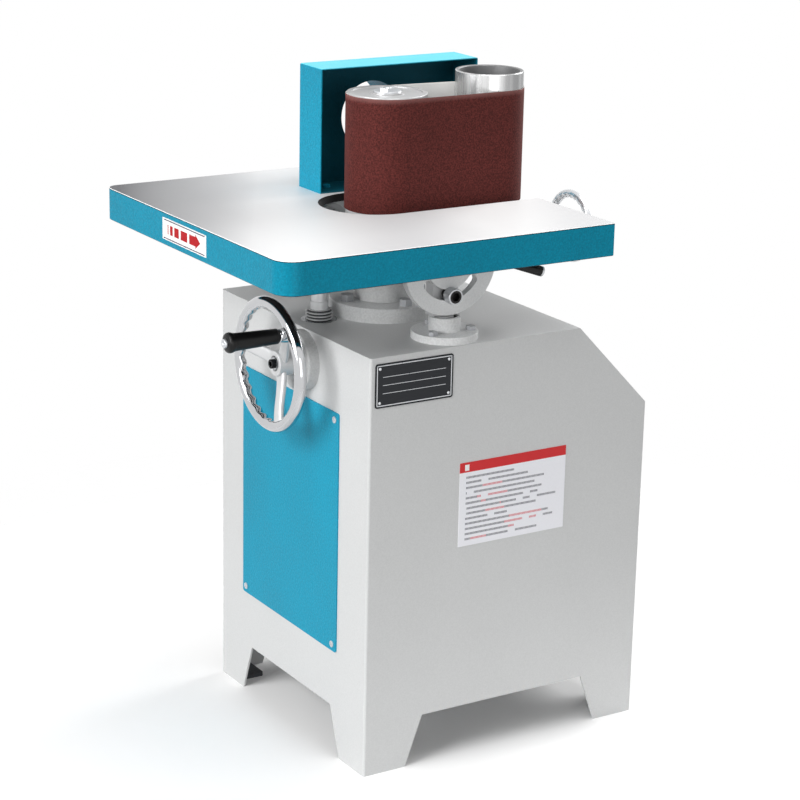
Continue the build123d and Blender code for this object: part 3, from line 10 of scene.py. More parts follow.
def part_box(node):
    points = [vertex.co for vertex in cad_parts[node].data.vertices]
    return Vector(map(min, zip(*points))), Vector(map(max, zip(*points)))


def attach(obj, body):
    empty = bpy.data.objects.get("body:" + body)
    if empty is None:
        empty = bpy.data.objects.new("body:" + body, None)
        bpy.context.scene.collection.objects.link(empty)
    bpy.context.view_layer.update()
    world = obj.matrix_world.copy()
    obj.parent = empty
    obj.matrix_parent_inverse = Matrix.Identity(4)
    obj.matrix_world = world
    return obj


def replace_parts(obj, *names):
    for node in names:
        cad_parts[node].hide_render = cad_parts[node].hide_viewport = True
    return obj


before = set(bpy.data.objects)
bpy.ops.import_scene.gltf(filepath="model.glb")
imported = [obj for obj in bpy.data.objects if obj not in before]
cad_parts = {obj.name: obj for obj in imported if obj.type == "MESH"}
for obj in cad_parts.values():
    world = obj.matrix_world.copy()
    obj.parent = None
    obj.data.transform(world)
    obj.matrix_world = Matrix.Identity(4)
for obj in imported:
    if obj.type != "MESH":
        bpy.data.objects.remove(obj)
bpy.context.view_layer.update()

# Cabinet: one body of folded 3 mm sheet on four splayed feet, with a deck plate and foot plates welded inside.
# The body is sprayed inside and out in a light grey enamel with a fine orange peel; the foot plates are
# coloured dark, as painted shade.


def chip(red, green, blue):
    """Linear colour of a paint chip read in 0 to 255: ((c + 0.055) / 1.055) ** 2.4, straight near black."""
    c = np.array([red, green, blue]) / 255
    linear = np.where(c <= 0.04045, c / 12.92, ((c + 0.055) / 1.055) ** 2.4)
    return (*linear.tolist(), 1.0)


def blank(name, **constants):
    """New material with these constants on its shader; gives the material, its nodes and the shader."""
    material = bpy.data.materials.new(name)
    material.use_nodes = True
    shader = material.node_tree.nodes["Principled BSDF"]
    for key, value in constants.items():
        shader.inputs[key.replace("_", " ")].default_value = value
    return material, material.node_tree, shader


def wire(tree, kind, sockets=None, **settings):
    """One shader node. Sockets are set to values, or linked where they are another node's output."""
    new = tree.nodes.new(kind)
    for key, value in settings.items():
        setattr(new, key, value)
    for key, value in (sockets or {}).items():
        if isinstance(value, bpy.types.NodeSocket):
            tree.links.new(value, new.inputs[key])
        else:
            new.inputs[key].default_value = value
    return new


def sums(tree, operation, *values):
    """Output of one Math node."""
    return wire(tree, "ShaderNodeMath", dict(enumerate(values)), operation=operation).outputs[0]


def between(tree, share, first, second):
    """Colour that runs from first to second with share."""
    mix = wire(tree, "ShaderNodeMix", {0: share, 6: first, 7: second}, data_type="RGBA")
    return mix.outputs[2]


def spread(tree, value, low, high, to_low, to_high):
    """Value carried from one range to another, held at the ends."""
    sockets = {"Value": value, "From Min": low, "From Max": high, "To Min": to_low, "To Max": to_high}
    return wire(tree, "ShaderNodeMapRange", sockets).outputs[0]


def places(tree, stretch=None, turn=(0, 0, 0)):
    """Object coordinates, stretched and turned where a grain has a direction."""
    here = wire(tree, "ShaderNodeTexCoord").outputs["Object"]
    if stretch is None:
        return here
    mapping = wire(tree, "ShaderNodeMapping", {"Vector": here, "Scale": stretch, "Rotation": turn})
    return mapping.outputs["Vector"]


def noise(tree, where, scale, detail=2.0, rough=0.5):
    """Fractal noise from 0 to 1, scale in waves per metre."""
    sockets = {"Vector": where, "Scale": scale, "Detail": detail, "Roughness": rough}
    return wire(tree, "ShaderNodeTexNoise", sockets).outputs[0]


def raise_by(tree, shader, height, distance, strength=1.0):
    """Bump of the shader's normal by a height from 0 to 1, distance in metres."""
    sockets = {"Height": height, "Distance": distance, "Strength": strength}
    tree.links.new(wire(tree, "ShaderNodeBump", sockets).outputs[0], shader.inputs["Normal"])


def tint(colour, share):
    """Colour with its light multiplied by a share."""
    return tuple(min(1.0, c * share) for c in colour[:3]) + (1.0,)


def enamel(name, colour, peel, depth, gloss, shine=0.45, fleck=0.04):
    """Sprayed enamel: soft cells of peel metres stand depth metres high, and their flecks and a slow cloud vary
    the shade."""
    material, tree, shader = blank(name, Specular_IOR_Level=shine)
    here = places(tree)
    cloud = noise(tree, here, 6.0, 3.0)
    grain = noise(tree, here, 1 / peel, 2.0)
    shade = sums(tree, "ADD", sums(tree, "MULTIPLY", cloud, 0.3), sums(tree, "MULTIPLY", grain, 0.7))
    shade = spread(tree, shade, 0.32, 0.68, 0.0, 1.0)
    paint = between(tree, shade, tint(colour, 1 - fleck), tint(colour, 1 + fleck))
    tree.links.new(paint, shader.inputs["Base Color"])
    cells = wire(tree, "ShaderNodeTexVoronoi", {"Vector": here, "Scale": 1 / peel}, feature="SMOOTH_F1")
    tree.links.new(spread(tree, cloud, 0.3, 0.7, gloss - 0.04, gloss + 0.05), shader.inputs["Roughness"])
    raise_by(tree, shader, cells.outputs["Distance"], depth)
    return material


def dress(material, *nodes):
    """Puts a finish on CAD nodes."""
    for node in nodes:
        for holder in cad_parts[node].material_slots:
            holder.material = material


grey_enamel = enamel("grey_enamel", chip(205, 206, 206), 0.0022, 0.00016, 0.42)
dress(grey_enamel, "cabinet_shell", "cabinet_front", "cabinet_rear", "deck_plate")

# Access panel: 2 mm sheet over the opening in the left wall, in teal-blue hammered enamel.
# Held by a domed cross-recess screw in each corner; the lift boss above has three more.
blue_enamel = enamel("blue_enamel", chip(22, 145, 175), 0.0026, 0.00040, 0.42, shine=0.12, fleck=0.20)
dress(blue_enamel, "access_panel")


def join(name, material, *grids):
    """One mesh from grids of points (rows, columns, 3). Each grid is closed round its columns, and rows of one
    point make its poles. Doubles are merged, normals turned outwards, faces smooth below 40 degrees."""
    mesh = bpy.data.meshes.new(name)
    corners, faces, start = [], [], 0
    for grid in grids:
        rows, columns = grid.shape[:2]
        index = start + np.arange(rows * columns).reshape(rows, columns)
        ahead = np.roll(index, -1, axis=1)
        faces.append(np.stack([index[:-1], ahead[:-1], ahead[1:], index[1:]], -1).reshape(-1, 4))
        corners.append(grid.reshape(-1, 3))
        start += rows * columns
    mesh.from_pydata(np.concatenate(corners).tolist(), [], np.concatenate(faces).tolist())
    work = bmesh.new()
    work.from_mesh(mesh)
    bmesh.ops.remove_doubles(work, verts=work.verts, dist=1e-6)
    bmesh.ops.dissolve_degenerate(work, edges=work.edges, dist=1e-7)
    bmesh.ops.recalc_face_normals(work, faces=work.faces)
    work.to_mesh(mesh)
    work.free()
    mesh.shade_smooth()
    mesh.set_sharp_from_angle(angle=radians(40))
    mesh.materials.append(material)
    piece = bpy.data.objects.new(name, mesh)
    bpy.context.scene.collection.objects.link(piece)
    return piece


def axes(direction):
    """Three unit vectors, the first along direction."""
    along = np.array(direction, float)
    along /= np.linalg.norm(along)
    across = np.cross(along, (0, 0, 1) if abs(along[2]) < 0.9 else (1, 0, 0))
    across /= np.linalg.norm(across)
    return along, across, np.cross(along, across)


def turned(origin, direction, profile, columns=48):
    """Surface of revolution: point = origin + along * distance + radius * (across cos u + up sin u)."""
    along, across, up = axes(direction)
    distance, radius = np.array(profile, float).T
    u = np.linspace(0, 2 * pi, columns, endpoint=False)
    ring = np.cos(u)[:, None] * across + np.sin(u)[:, None] * up
    return np.array(origin) + distance[:, None, None] * along + radius[:, None, None] * ring


def rounded(profile, radius, steps=5):
    """Profile whose inner corners are arcs: each corner p is replaced by a quadratic blend of p and the two
    points that lie radius away on its sides."""
    points = np.array(profile, float)
    t = np.linspace(0, 1, steps)[:, None]
    path = [points[:1]]
    for before, corner, after in zip(points[:-2], points[1:-1], points[2:]):
        a, b = before - corner, after - corner
        reach = min(radius, np.linalg.norm(a) * 0.49, np.linalg.norm(b) * 0.49)
        a, b = corner + a / np.linalg.norm(a) * reach, corner + b / np.linalg.norm(b) * reach
        path.append((1 - t) ** 2 * a + 2 * t * (1 - t) * corner + t**2 * b)
    path.append(points[-1:])
    return np.concatenate(path)


def cross_head(origin, direction, radius, height):
    """Domed screw head: rise = height (1 - (r / R)^2 / 2) less a cross recess that fades out at 0.6 R."""
    along, across, up = axes(direction)
    r = np.linspace(0, 1, 26)[:, None]
    u = np.linspace(0, 2 * pi, 64, endpoint=False)[None, :]
    narrow = np.minimum(np.abs(r * np.cos(u)), np.abs(r * np.sin(u)))
    recess = np.clip((0.13 - narrow) / 0.05, 0, 1) * np.clip((0.62 - r) / 0.1, 0, 1)
    rise = height * (1 - 0.5 * r**2) - 0.55 * height * recess
    top = np.array(origin) + rise[..., None] * along
    top = top + radius * r[..., None] * (np.cos(u)[..., None] * across + np.sin(u)[..., None] * up)
    foot = top[-1:] - height * 0.5 * along
    return np.concatenate([top, foot, np.broadcast_to(foot.mean(1, keepdims=True), foot.shape)])


def plated(name, colour, rough, scratch=0.0, metal=1.0):
    """Bright metal: fine noise varies the polish, and scratch lifts a faint grain."""
    material, tree, shader = blank(name, Metallic=metal)
    here = places(tree)
    smear = noise(tree, here, 60.0, 4.0)
    tree.links.new(between(tree, smear, tint(colour, 0.94), colour), shader.inputs["Base Color"])
    tree.links.new(spread(tree, smear, 0.3, 0.7, rough * 0.75, rough * 1.3), shader.inputs["Roughness"])
    if scratch:
        raise_by(tree, shader, noise(tree, here, 1800.0, 2.0), scratch)
    return material


zinc = plated("zinc_plate", chip(208, 210, 213), 0.34, 0.00003, 0.7)
panel_low, panel_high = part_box("access_panel")
panel_inset = 0.011
panel_screws = [
    (panel_low.x, y, z)
    for y in (panel_low.y + panel_inset, panel_high.y - panel_inset)
    for z in (panel_low.z + panel_inset, panel_high.z - panel_inset)
]
lift_axis = (-0.037, 0.593)
boss_face, boss_circle = -0.263, 0.036
boss_screws = [
    (boss_face, lift_axis[0] + boss_circle * cos(radians(a)), lift_axis[1] + boss_circle * sin(radians(a)))
    for a in (130, 250, 370)
]
head_radius, head_height = 0.005, 0.0025
heads = [cross_head(place, (-1, 0, 0), head_radius, head_height) for place in panel_screws + boss_screws]
wall_screw_heads = join("wall_screw_heads", zinc, *heads)
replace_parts(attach(wall_screw_heads, "frame"), "wall_screws")

# Name plate: dark anodised plate with a bright raised rim and a rivet in each corner, left blank.
# The instruction card below it is white film with a red head band and plain ruled lines.
plate_low, plate_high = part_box("name_plate")


def slab(corner, size, edge):
    """Flat block with bevelled edges facing -Y: rows run from its back to its front along a rectangle that
    shrinks by edge at the front."""
    x, y, z = corner
    w, t, h = size
    rows = [(0, 0), (t - edge, 0), (t, edge)]
    box = np.array([
        [(x + i, y - d, z + i), (x + w - i, y - d, z + i),
         (x + w - i, y - d, z + h - i), (x + i, y - d, z + h - i)]
        for d, i in rows
    ])
    middle = np.broadcast_to(box.mean(1, keepdims=True), box.shape)
    return np.concatenate([middle[:1], box, middle[-1:]])


dark_plate, tree, shader = blank("dark_plate", Metallic=0.6, Specular_IOR_Level=0.5)
here = places(tree, (40, 40, 900))
grain = noise(tree, here, 1.0, 3.0)
tree.links.new(between(tree, grain, chip(25, 27, 30), chip(45, 47, 51)), shader.inputs["Base Color"])
tree.links.new(spread(tree, grain, 0.3, 0.7, 0.34, 0.5), shader.inputs["Roughness"])
dress(dark_plate, "name_plate")
rim_in, rim_wide, rim_high, rim_edge = 0.0025, 0.0014, 0.0004, 0.0002
plate_w = plate_high.x - plate_low.x - 2 * rim_in
plate_h = plate_high.z - plate_low.z - 2 * rim_in
rim_x, rim_z = plate_low.x + rim_in, plate_low.z + rim_in
front = plate_low.y
rim_bars = [
    slab((rim_x, front, rim_z), (plate_w, rim_high, rim_wide), rim_edge),
    slab((rim_x, front, rim_z + plate_h - rim_wide), (plate_w, rim_high, rim_wide), rim_edge),
    slab((rim_x, front, rim_z), (rim_wide, rim_high, plate_h), rim_edge),
    slab((rim_x + plate_w - rim_wide, front, rim_z), (rim_wide, rim_high, plate_h), rim_edge),
]
rule_in, rule_edge = 0.010, 0.0001
rule_size = (plate_w - 2 * rule_in, 0.6 * rim_high, 0.0008)
rim_bars += [
    slab((rim_x + rule_in, front, rim_z + up * plate_h), rule_size, rule_edge)
    for up in (0.30, 0.50, 0.70)
]
rivet_in = 0.005
rivet_profile = [(0, 0.0022), (0.0004, 0.0021), (0.0008, 0.0015), (0.001, 0.0)]
rivets = [
    turned((x, front, z), (0, -1, 0), rivet_profile, 20)
    for x in (rim_x + rivet_in, rim_x + plate_w - rivet_in)
    for z in (rim_z + rivet_in, rim_z + plate_h - rivet_in)
]
name_plate_trim = join("name_plate_trim", zinc, *rim_bars, *rivets)
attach(name_plate_trim, "frame")

card_low, card_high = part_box("instruction_card")
card_film, tree, shader = blank("card_film", Roughness=0.35, Specular_IOR_Level=0.4)
split = wire(tree, "ShaderNodeSeparateXYZ", {0: places(tree)})
across = spread(tree, split.outputs["X"], card_low.x, card_high.x, 0.0, 1.0)
upward = spread(tree, split.outputs["Z"], card_low.z, card_high.z, 0.0, 1.0)
lines = 13
count = sums(tree, "MULTIPLY", spread(tree, upward, 0.05, 0.85, 0.0, 1.0), lines)
row = sums(tree, "FLOOR", count)
chance = wire(tree, "ShaderNodeTexWhiteNoise", {"W": row}, noise_dimensions="1D").outputs["Color"]
chance = wire(tree, "ShaderNodeSeparateColor", {0: chance})
end = spread(tree, chance.outputs[0], 0.0, 1.0, 0.45, 0.95)
inside = sums(tree, "MULTIPLY", sums(tree, "GREATER_THAN", across, 0.06), sums(tree, "LESS_THAN", across, end))
inside = sums(tree, "MULTIPLY", inside, sums(tree, "COMPARE", upward, 0.45, 0.395))
stroke = sums(tree, "COMPARE", sums(tree, "FRACT", count), 0.5, 0.21)
dashes = sums(tree, "LESS_THAN", sums(tree, "FRACT", sums(tree, "MULTIPLY", across, 84.0)), 0.74)
block = sums(tree, "FLOOR", sums(tree, "MULTIPLY", across, 15.0))
block = wire(tree, "ShaderNodeCombineXYZ", {"X": block, "Y": row}).outputs[0]
block = wire(tree, "ShaderNodeTexWhiteNoise", {"Vector": block}, noise_dimensions="2D").outputs["Value"]
dashes = sums(tree, "MULTIPLY", dashes, sums(tree, "GREATER_THAN", block, 0.10))
ruled = sums(tree, "MULTIPLY", sums(tree, "MULTIPLY", inside, stroke), dashes)
red_start = spread(tree, chance.outputs[1], 0.0, 1.0, 0.0, 0.75)
red_end = sums(tree, "ADD", red_start, spread(tree, chance.outputs[2], 0.2, 1.0, 0.0, 0.34))
red = sums(tree, "MULTIPLY", sums(tree, "GREATER_THAN", across, red_start),
           sums(tree, "LESS_THAN", across, red_end))
ink = between(tree, red, chip(84, 84, 92), chip(212, 84, 88))
paper = noise(tree, places(tree), 300.0, 2.0)
sheet_white = between(tree, paper, chip(238, 239, 244), chip(246, 246, 251))
marked = between(tree, sums(tree, "MULTIPLY", ruled, 0.85), sheet_white, ink)
header = sums(tree, "GREATER_THAN", upward, 0.883)
square = sums(tree, "MULTIPLY", sums(tree, "COMPARE", across, 0.065, 0.02),
              sums(tree, "COMPARE", upward, 0.938, 0.036))
banner = between(tree, square, chip(206, 34, 38), chip(244, 244, 242))
tree.links.new(between(tree, header, marked, banner), shader.inputs["Base Color"])
dress(card_film, "instruction_card")

# Lift boss and column guides: grey iron castings, turned on their faces and sprayed with the cabinet's enamel.
# Bolted to the left wall and to the cabinet top; the spindle housing and the tilt trunnions are like them.


def off_axis(tree, x, y):
    """Distance in metres from an upright axis."""
    split = wire(tree, "ShaderNodeSeparateXYZ", {0: places(tree)})
    flat = wire(tree, "ShaderNodeCombineXYZ", {"X": split.outputs["X"], "Y": split.outputs["Y"]}).outputs[0]
    return wire(tree, "ShaderNodeVectorMath", {0: flat, 1: (x, y, 0)}, operation="DISTANCE").outputs["Value"]


def coat(material):
    """Nodes, colour input and split Object coordinates of a finish, to shade a part of it."""
    tree = material.node_tree
    base = tree.nodes["Principled BSDF"].inputs["Base Color"]
    return tree, base, wire(tree, "ShaderNodeSeparateXYZ", {0: places(tree)})


# The castings' enamel is the cabinet's grey painted lighter, as painted light. The trunnions' and the front
# guide's are painted lighter still, and the boss's darker, as painted shade.
cast_enamel = enamel("cast_enamel", chip(216, 217, 217), 0.0030, 0.00030, 0.40, fleck=0.10)
painted_light_enamel = enamel("painted_light_enamel", chip(240, 241, 241), 0.0030, 0.00030, 0.36, fleck=0.06)
painted_shade_enamel = enamel("painted_shade_enamel", chip(184, 185, 185), 0.0030, 0.00034, 0.42, fleck=0.12)
dress(painted_shade_enamel, "lift_boss")
guide_enamel = enamel("guide_enamel", chip(230, 231, 231), 0.0030, 0.00030, 0.40, fleck=0.10)
tree, base, split = coat(guide_enamel)
guide_x, guide_y, guide_bore, guide_floor = -0.089, -0.170, 0.0185, 0.668
# Painted shade: the bore round the column, above the guide's floor, is coloured dark grey.
painted_bore_shade = sums(tree, "LESS_THAN", off_axis(tree, guide_x, guide_y), guide_bore)
painted_bore_shade = sums(tree, "MULTIPLY", painted_bore_shade, sums(tree, "GREATER_THAN", split.outputs["Z"], guide_floor))
tree.links.new(between(tree, painted_bore_shade, base.links[0].from_socket, chip(52, 52, 54)), base)
dress(guide_enamel, "front_guide")
dress(cast_enamel, "rear_guide", "spindle_housing")
dress(painted_light_enamel, "front_trunnion", "rear_trunnion")
bolt_steel = plated("bolt_steel", chip(176, 178, 181), 0.36, 0.00003, 0.7)
dress(bolt_steel, "machine_bolts")

# Lift handwheel: iron wheel with a round chromed rim, finger waves behind it, and three dished spokes and a hub
# left satin. A black socket screw holds the hub on the lift shaft.
chrome = plated("chrome", chip(202, 203, 205), 0.10)
satin_steel = plated("satin_steel", chip(212, 213, 214), 0.44, 0.00003, 0.45)
black_oxide = plated("black_oxide", chip(34, 35, 37), 0.36, 0.00004)


def wheel(centre, outward, reach, tube, waves, wave, dish, spokes, wide, thick, hub, start):
    """Grids of a handwheel. Rim: centre + e(u) (reach + q cos v) + outward q sin v with q = tube less waves of
    the inner back. Spokes: superellipse sections on a path that drops by dish towards the hub, s-shaped."""
    along, side, up = np.array(outward, float), np.array((0, 1.0, 0)), np.array((0, 0, 1.0))
    centre = np.array(centre)
    u = np.linspace(0, 2 * pi, 24 * waves, endpoint=False)[:, None]
    v = np.linspace(0, 2 * pi, 28, endpoint=False)[None, :]
    back = np.clip(-np.cos(v - pi / 4), 0, 1) ** 1.5
    q = tube * (1 - wave * back * (0.5 - 0.5 * np.cos(waves * u)))
    outwards = np.cos(u)[..., None] * side + np.sin(u)[..., None] * up
    rim = centre + outwards * (reach + q * np.cos(v))[..., None] + along * (q * np.sin(v))[..., None]
    grids = [np.concatenate([rim, rim[:1]])]
    t = np.linspace(0, 1, 30)
    ease = t * t * (3 - 2 * t)
    for n in range(spokes):
        angle = start + 2 * pi * n / spokes
        radial = cos(angle) * side + sin(angle) * up
        tangent = -sin(angle) * side + cos(angle) * up
        distance = hub / 2 + (reach - hub / 2) * t
        path = centre + radial * distance[:, None] - along * (dish * (1 - ease))[:, None]
        half = wide / 2 * (1 - 0.16 * np.sin(pi * t))
        w = np.sign(np.cos(v.T)) * np.abs(np.cos(v.T)) ** 0.6
        h = np.sign(np.sin(v.T)) * np.abs(np.sin(v.T)) ** 0.8
        flank = (half[:, None] * w.T)[..., None] * tangent
        spoke = path[:, None] + flank + (thick / 2 * h.T)[..., None] * along
        ends = [np.broadcast_to(spoke[i].mean(0), spoke[i].shape)[None] for i in (0, -1)]
        grids.append(np.concatenate([ends[0], spoke, ends[1]]))
    return grids


rim_plane, hub_back, hub_radius, soft_edge = -0.303, -0.265, 0.019, 0.002
handle_angle, handle_reach, handle_seat = radians(130), 0.072, -0.2945
lift_grids = wheel((rim_plane, *lift_axis), (-1, 0, 0), reach=0.091, tube=0.009, waves=28, wave=0.34,
                   dish=0.017, spokes=3, wide=0.024, thick=0.010, hub=hub_radius, start=handle_angle)
hub_profile = [(0, 0), (0, hub_radius), (0.031, hub_radius), (0.031, 0.0112), (0.025, 0.0108), (0.025, 0)]
lift_grids.append(turned((hub_back, *lift_axis), (-1, 0, 0), rounded(hub_profile, soft_edge)))
handle_y = lift_axis[0] + handle_reach * cos(handle_angle)
handle_z = lift_axis[1] + handle_reach * sin(handle_angle)
boss_profile = [(0, 0), (0, 0.012), (0.008, 0.0115), (0.021, 0.0095), (0.021, 0)]
lift_grids.append(turned((handle_seat, handle_y, handle_z), (-1, 0, 0), rounded(boss_profile, soft_edge), 40))
lift_rim_form = join("lift_rim_form", chrome, lift_grids[0], lift_grids[-1])
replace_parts(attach(lift_rim_form, "lift_wheel"), "lift_handwheel")
lift_spokes_form = join("lift_spokes_form", satin_steel, *lift_grids[1:-1])
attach(lift_spokes_form, "lift_wheel")
screw_seat, screw_edge = -0.292, 0.0008
screw_profile = [(0, 0), (0, 0.0070), (0.010, 0.0070), (0.010, 0.0038), (0.005, 0.0036), (0.005, 0)]
hub_screw = turned((screw_seat, *lift_axis), (-1, 0, 0), rounded(screw_profile, screw_edge))
hub_screw_form = join("hub_screw_form", black_oxide, hub_screw)
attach(hub_screw_form, "lift_wheel")

# Handle: black moulded grip with a flared end that turns on a bright shoulder screw.
# The screw's head shows in the grip's end.
gloss_black, tree, shader = blank("gloss_black", Specular_IOR_Level=0.25)
moulding = noise(tree, places(tree), 90.0, 4.0)
tree.links.new(between(tree, moulding, chip(9, 9, 9), chip(17, 17, 18)), shader.inputs["Base Color"])
tree.links.new(spread(tree, moulding, 0.3, 0.7, 0.30, 0.42), shader.inputs["Roughness"])
raise_by(tree, shader, moulding, 0.00005)
grip_start, grip_length = -0.3158, 0.083
t = np.linspace(0, 1, 60)
swell = 0.0112 + 0.0022 * t + 0.0017 * np.exp(-(((t - 0.93) / 0.055) ** 2))
swell *= 1 - np.clip((0.03 - t) / 0.03, 0, 1) ** 3 * 0.25
swell *= 1 - np.clip((t - 0.965) / 0.035, 0, 1) ** 3 * 0.3
grip_profile = np.concatenate([[(0, 0)], np.stack([t * grip_length, swell], 1), [(grip_length, 0)]])
grip = turned((grip_start, handle_y, handle_z), (-1, 0, 0), grip_profile)
handle_form = join("handle_form", gloss_black, grip)
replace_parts(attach(handle_form, "handle"), "handle_grip")
cap_gap, cap_edge = 0.0003, 0.0012
cap_profile = [(0, 0), (0, 0.007), (0.004, 0.0065), (0.004, 0.0028), (0.0022, 0.0026), (0.0022, 0)]
cap_start = grip_start - grip_length - cap_gap
spindle_cap = turned((cap_start, handle_y, handle_z), (-1, 0, 0), rounded(cap_profile, cap_edge))
handle_screw_form = join("handle_screw_form", zinc, spindle_cap)
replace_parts(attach(handle_screw_form, "lift_wheel"), "handwheel_fixings")

# Lift works: ground shaft and cut pinion inside the wall, a ringed rack post through a steel bush in the deck,
# two ground columns and a flat yoke that lifts the table.
turned_steel = plated("turned_steel", chip(196, 198, 200), 0.24, 0.00003)
dark_enamel = enamel("dark_enamel", chip(78, 82, 85), 0.0030, 0.00030, 0.45)
dress(turned_steel, "lift_shaft", "post_bush")
dress(satin_steel, "front_column", "rear_column")
post_steel = plated("post_steel", chip(212, 213, 214), 0.44, 0.00003, 0.45)
tree, base, split = coat(post_steel)
post_x, post_y, groove_radius, rings_top = -0.200, 0.0, 0.0185, 0.6555
# Painted shade: the post inside the groove radius, below the top of its rings, is coloured near black.
painted_groove_shade = sums(tree, "LESS_THAN", off_axis(tree, post_x, post_y), groove_radius)
painted_groove_shade = sums(tree, "MULTIPLY", painted_groove_shade, sums(tree, "LESS_THAN", split.outputs["Z"], rings_top))
tree.links.new(between(tree, painted_groove_shade, base.links[0].from_socket, chip(70, 70, 72)), base)
dress(post_steel, "rack_post")
# The foot plates take the dark enamel as painted shade, for the shade inside the feet.
dress(dark_enamel, "lift_yoke", "foot_plates")
dress(zinc, "yoke_fixings")
socket_steel = plated("socket_steel", chip(196, 198, 201), 0.32, 0.00003, 0.7)
tree, base, split = coat(socket_steel)
flat = wire(tree, "ShaderNodeCombineXYZ", {"X": split.outputs["X"], "Z": split.outputs["Z"]}).outputs[0]
clamp_screw, socket_radius = (-0.089, 0, 0.705), 0.0095
# Painted shade: a disc round the clamp screw's axis, inside socket_radius, is coloured near black.
painted_socket_shade = wire(tree, "ShaderNodeVectorMath", {0: flat, 1: clamp_screw}, operation="DISTANCE").outputs["Value"]
painted_socket_shade = sums(tree, "LESS_THAN", painted_socket_shade, socket_radius)
tree.links.new(between(tree, painted_socket_shade, base.links[0].from_socket, chip(40, 38, 38)), base)
dress(socket_steel, "tilt_fixings")

# Motor: finned shell under the deck with its end cover, fan and fan cover, and the terminal box on its side.
# It drives the spindle straight from above.
iron_core = plated("iron_core", chip(96, 92, 88), 0.55, 0.0001)
dress(dark_enamel, "motor_housing", "motor_end_cover", "fan_cover", "terminal_box")
dress(iron_core, "stator", "rotor")
dress(gloss_black, "cooling_fan", "cable_gland")
dress(turned_steel, "drive_shaft", "shaft_bearings")

# Drive drum: turned aluminium drum on the spindle; its top face shows the lathe's fine rings.
# A washer and a nut clamp it down.
drum_x, drum_y = -0.089, 0.0
lathe, tree, shader = blank("lathe_face", Metallic=0.4, Anisotropic=0.4)
radius = off_axis(tree, drum_x, drum_y)
rings = noise(tree, wire(tree, "ShaderNodeCombineXYZ", {"X": radius}).outputs[0], 900.0, 4.0, 0.7)
tree.links.new(between(tree, rings, chip(172, 172, 173), chip(202, 202, 202)), shader.inputs["Base Color"])
tree.links.new(spread(tree, rings, 0.3, 0.7, 0.26, 0.42), shader.inputs["Roughness"])
raise_by(tree, shader, rings, 0.00008)
dress(lathe, "drive_drum")
dress(zinc, "drum_nut_set")

# Idler: polished steel tube on two bearings, on an axle held in a sliding block.
# The block's tongue runs in the tension arm, drawn by the screw; the platen stands on the same arm.
idler_x, idler_y = 0.085, -0.008
polished, tree, shader = blank("polished_tube")
wall_middle = 0.0500
# Painted light: the bore is coloured darker as painted shade; the outside runs from light to darker across the
# tube, with darker smear streaks, as painted reflections.
bored = sums(tree, "LESS_THAN", off_axis(tree, idler_x, idler_y), wall_middle)
smear = noise(tree, places(tree, (75, 75, 1)), 1.0, 3.0)
across = wire(tree, "ShaderNodeSeparateXYZ", {0: places(tree)}).outputs["X"]
painted_reflection_flow = spread(tree, across, idler_x - 0.03, idler_x + 0.04, 0.0, 1.0)
painted_reflection_skin = between(tree, painted_reflection_flow, chip(226, 226, 226), chip(150, 151, 152))
painted_reflection_skin = between(tree, spread(tree, smear, 0.35, 0.62, 0.45, 0.0), painted_reflection_skin, chip(96, 97, 98))
tree.links.new(between(tree, bored, painted_reflection_skin, chip(128, 128, 129)), shader.inputs["Base Color"])
tree.links.new(spread(tree, bored, 0.0, 1.0, 0.8, 0.5), shader.inputs["Metallic"])
tree.links.new(sums(tree, "ADD", spread(tree, smear, 0.3, 0.7, 0.22, 0.32), sums(tree, "MULTIPLY", bored, 0.2)),
               shader.inputs["Roughness"])
dress(polished, "idler_drum")
dress(turned_steel, "idler_axle", "idler_bearings", "platen", "tension_screw")
dress(zinc, "idler_axle_nut")
dress(cast_enamel, "idler_block", "tension_arm")

# Tension handwheel: small iron wheel with a round rim and three flat spokes, chromed all over.
# Its hub is fixed on the end of the tension screw.
tension_axis, tension_plane, tension_back = (-0.008, 0.737), 0.247, 0.235
bright_chrome = plated("bright_chrome", chip(226, 227, 229), 0.22, 0.0, 0.6)
tension_grids = wheel((tension_plane, *tension_axis), (1, 0, 0), reach=0.0505, tube=0.0065, waves=24, wave=0.16,
                      dish=0.0, spokes=3, wide=0.015, thick=0.009, hub=0.014, start=radians(-90))
tension_hub = [(0, 0), (0, 0.014), (0.024, 0.013), (0.024, 0.0085), (0.0225, 0.008), (0.0225, 0)]
tension_grids.append(turned((tension_back, *tension_axis), (1, 0, 0), rounded(tension_hub, soft_edge)))
tension_wheel_form = join("tension_wheel_form", bright_chrome, *tension_grids)
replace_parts(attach(tension_wheel_form, "tension_wheel"), "tension_handwheel")

# Sanding belt: maroon abrasive grain glued on light grey cloth, joined into an endless loop.
# It runs round the drum and the idler and hugs both.
belt_low, belt_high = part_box("sanding_belt")
drum_r, idler_r = 0.0598, 0.0518
belt_thick = 0.0012
reach = hypot(idler_x - drum_x, idler_y - drum_y)
lean = atan2(idler_y - drum_y, idler_x - drum_x)
open_angle = acos((drum_r - idler_r) / reach)
drum_turn = np.linspace(lean + open_angle, lean + 2 * pi - open_angle, 90)
idler_turn = np.linspace(lean - open_angle, lean + open_angle, 70) + 2 * pi


def belt_line(offset):
    """Loop round both rollers, offset outwards: arcs on each, joined by their outer tangents in 60 steps."""
    big, small = drum_r + offset, idler_r + offset
    drum_arc = np.stack([drum_x + big * np.cos(drum_turn), drum_y + big * np.sin(drum_turn)], 1)
    idler_arc = np.stack([idler_x + small * np.cos(idler_turn), idler_y + small * np.sin(idler_turn)], 1)
    s = np.linspace(0, 1, 60)[1:-1, None]
    front_run = drum_arc[-1] + (idler_arc[0] - drum_arc[-1]) * s
    rear_run = idler_arc[-1] + (drum_arc[0] - idler_arc[-1]) * s
    return np.concatenate([drum_arc, front_run, idler_arc, rear_run])


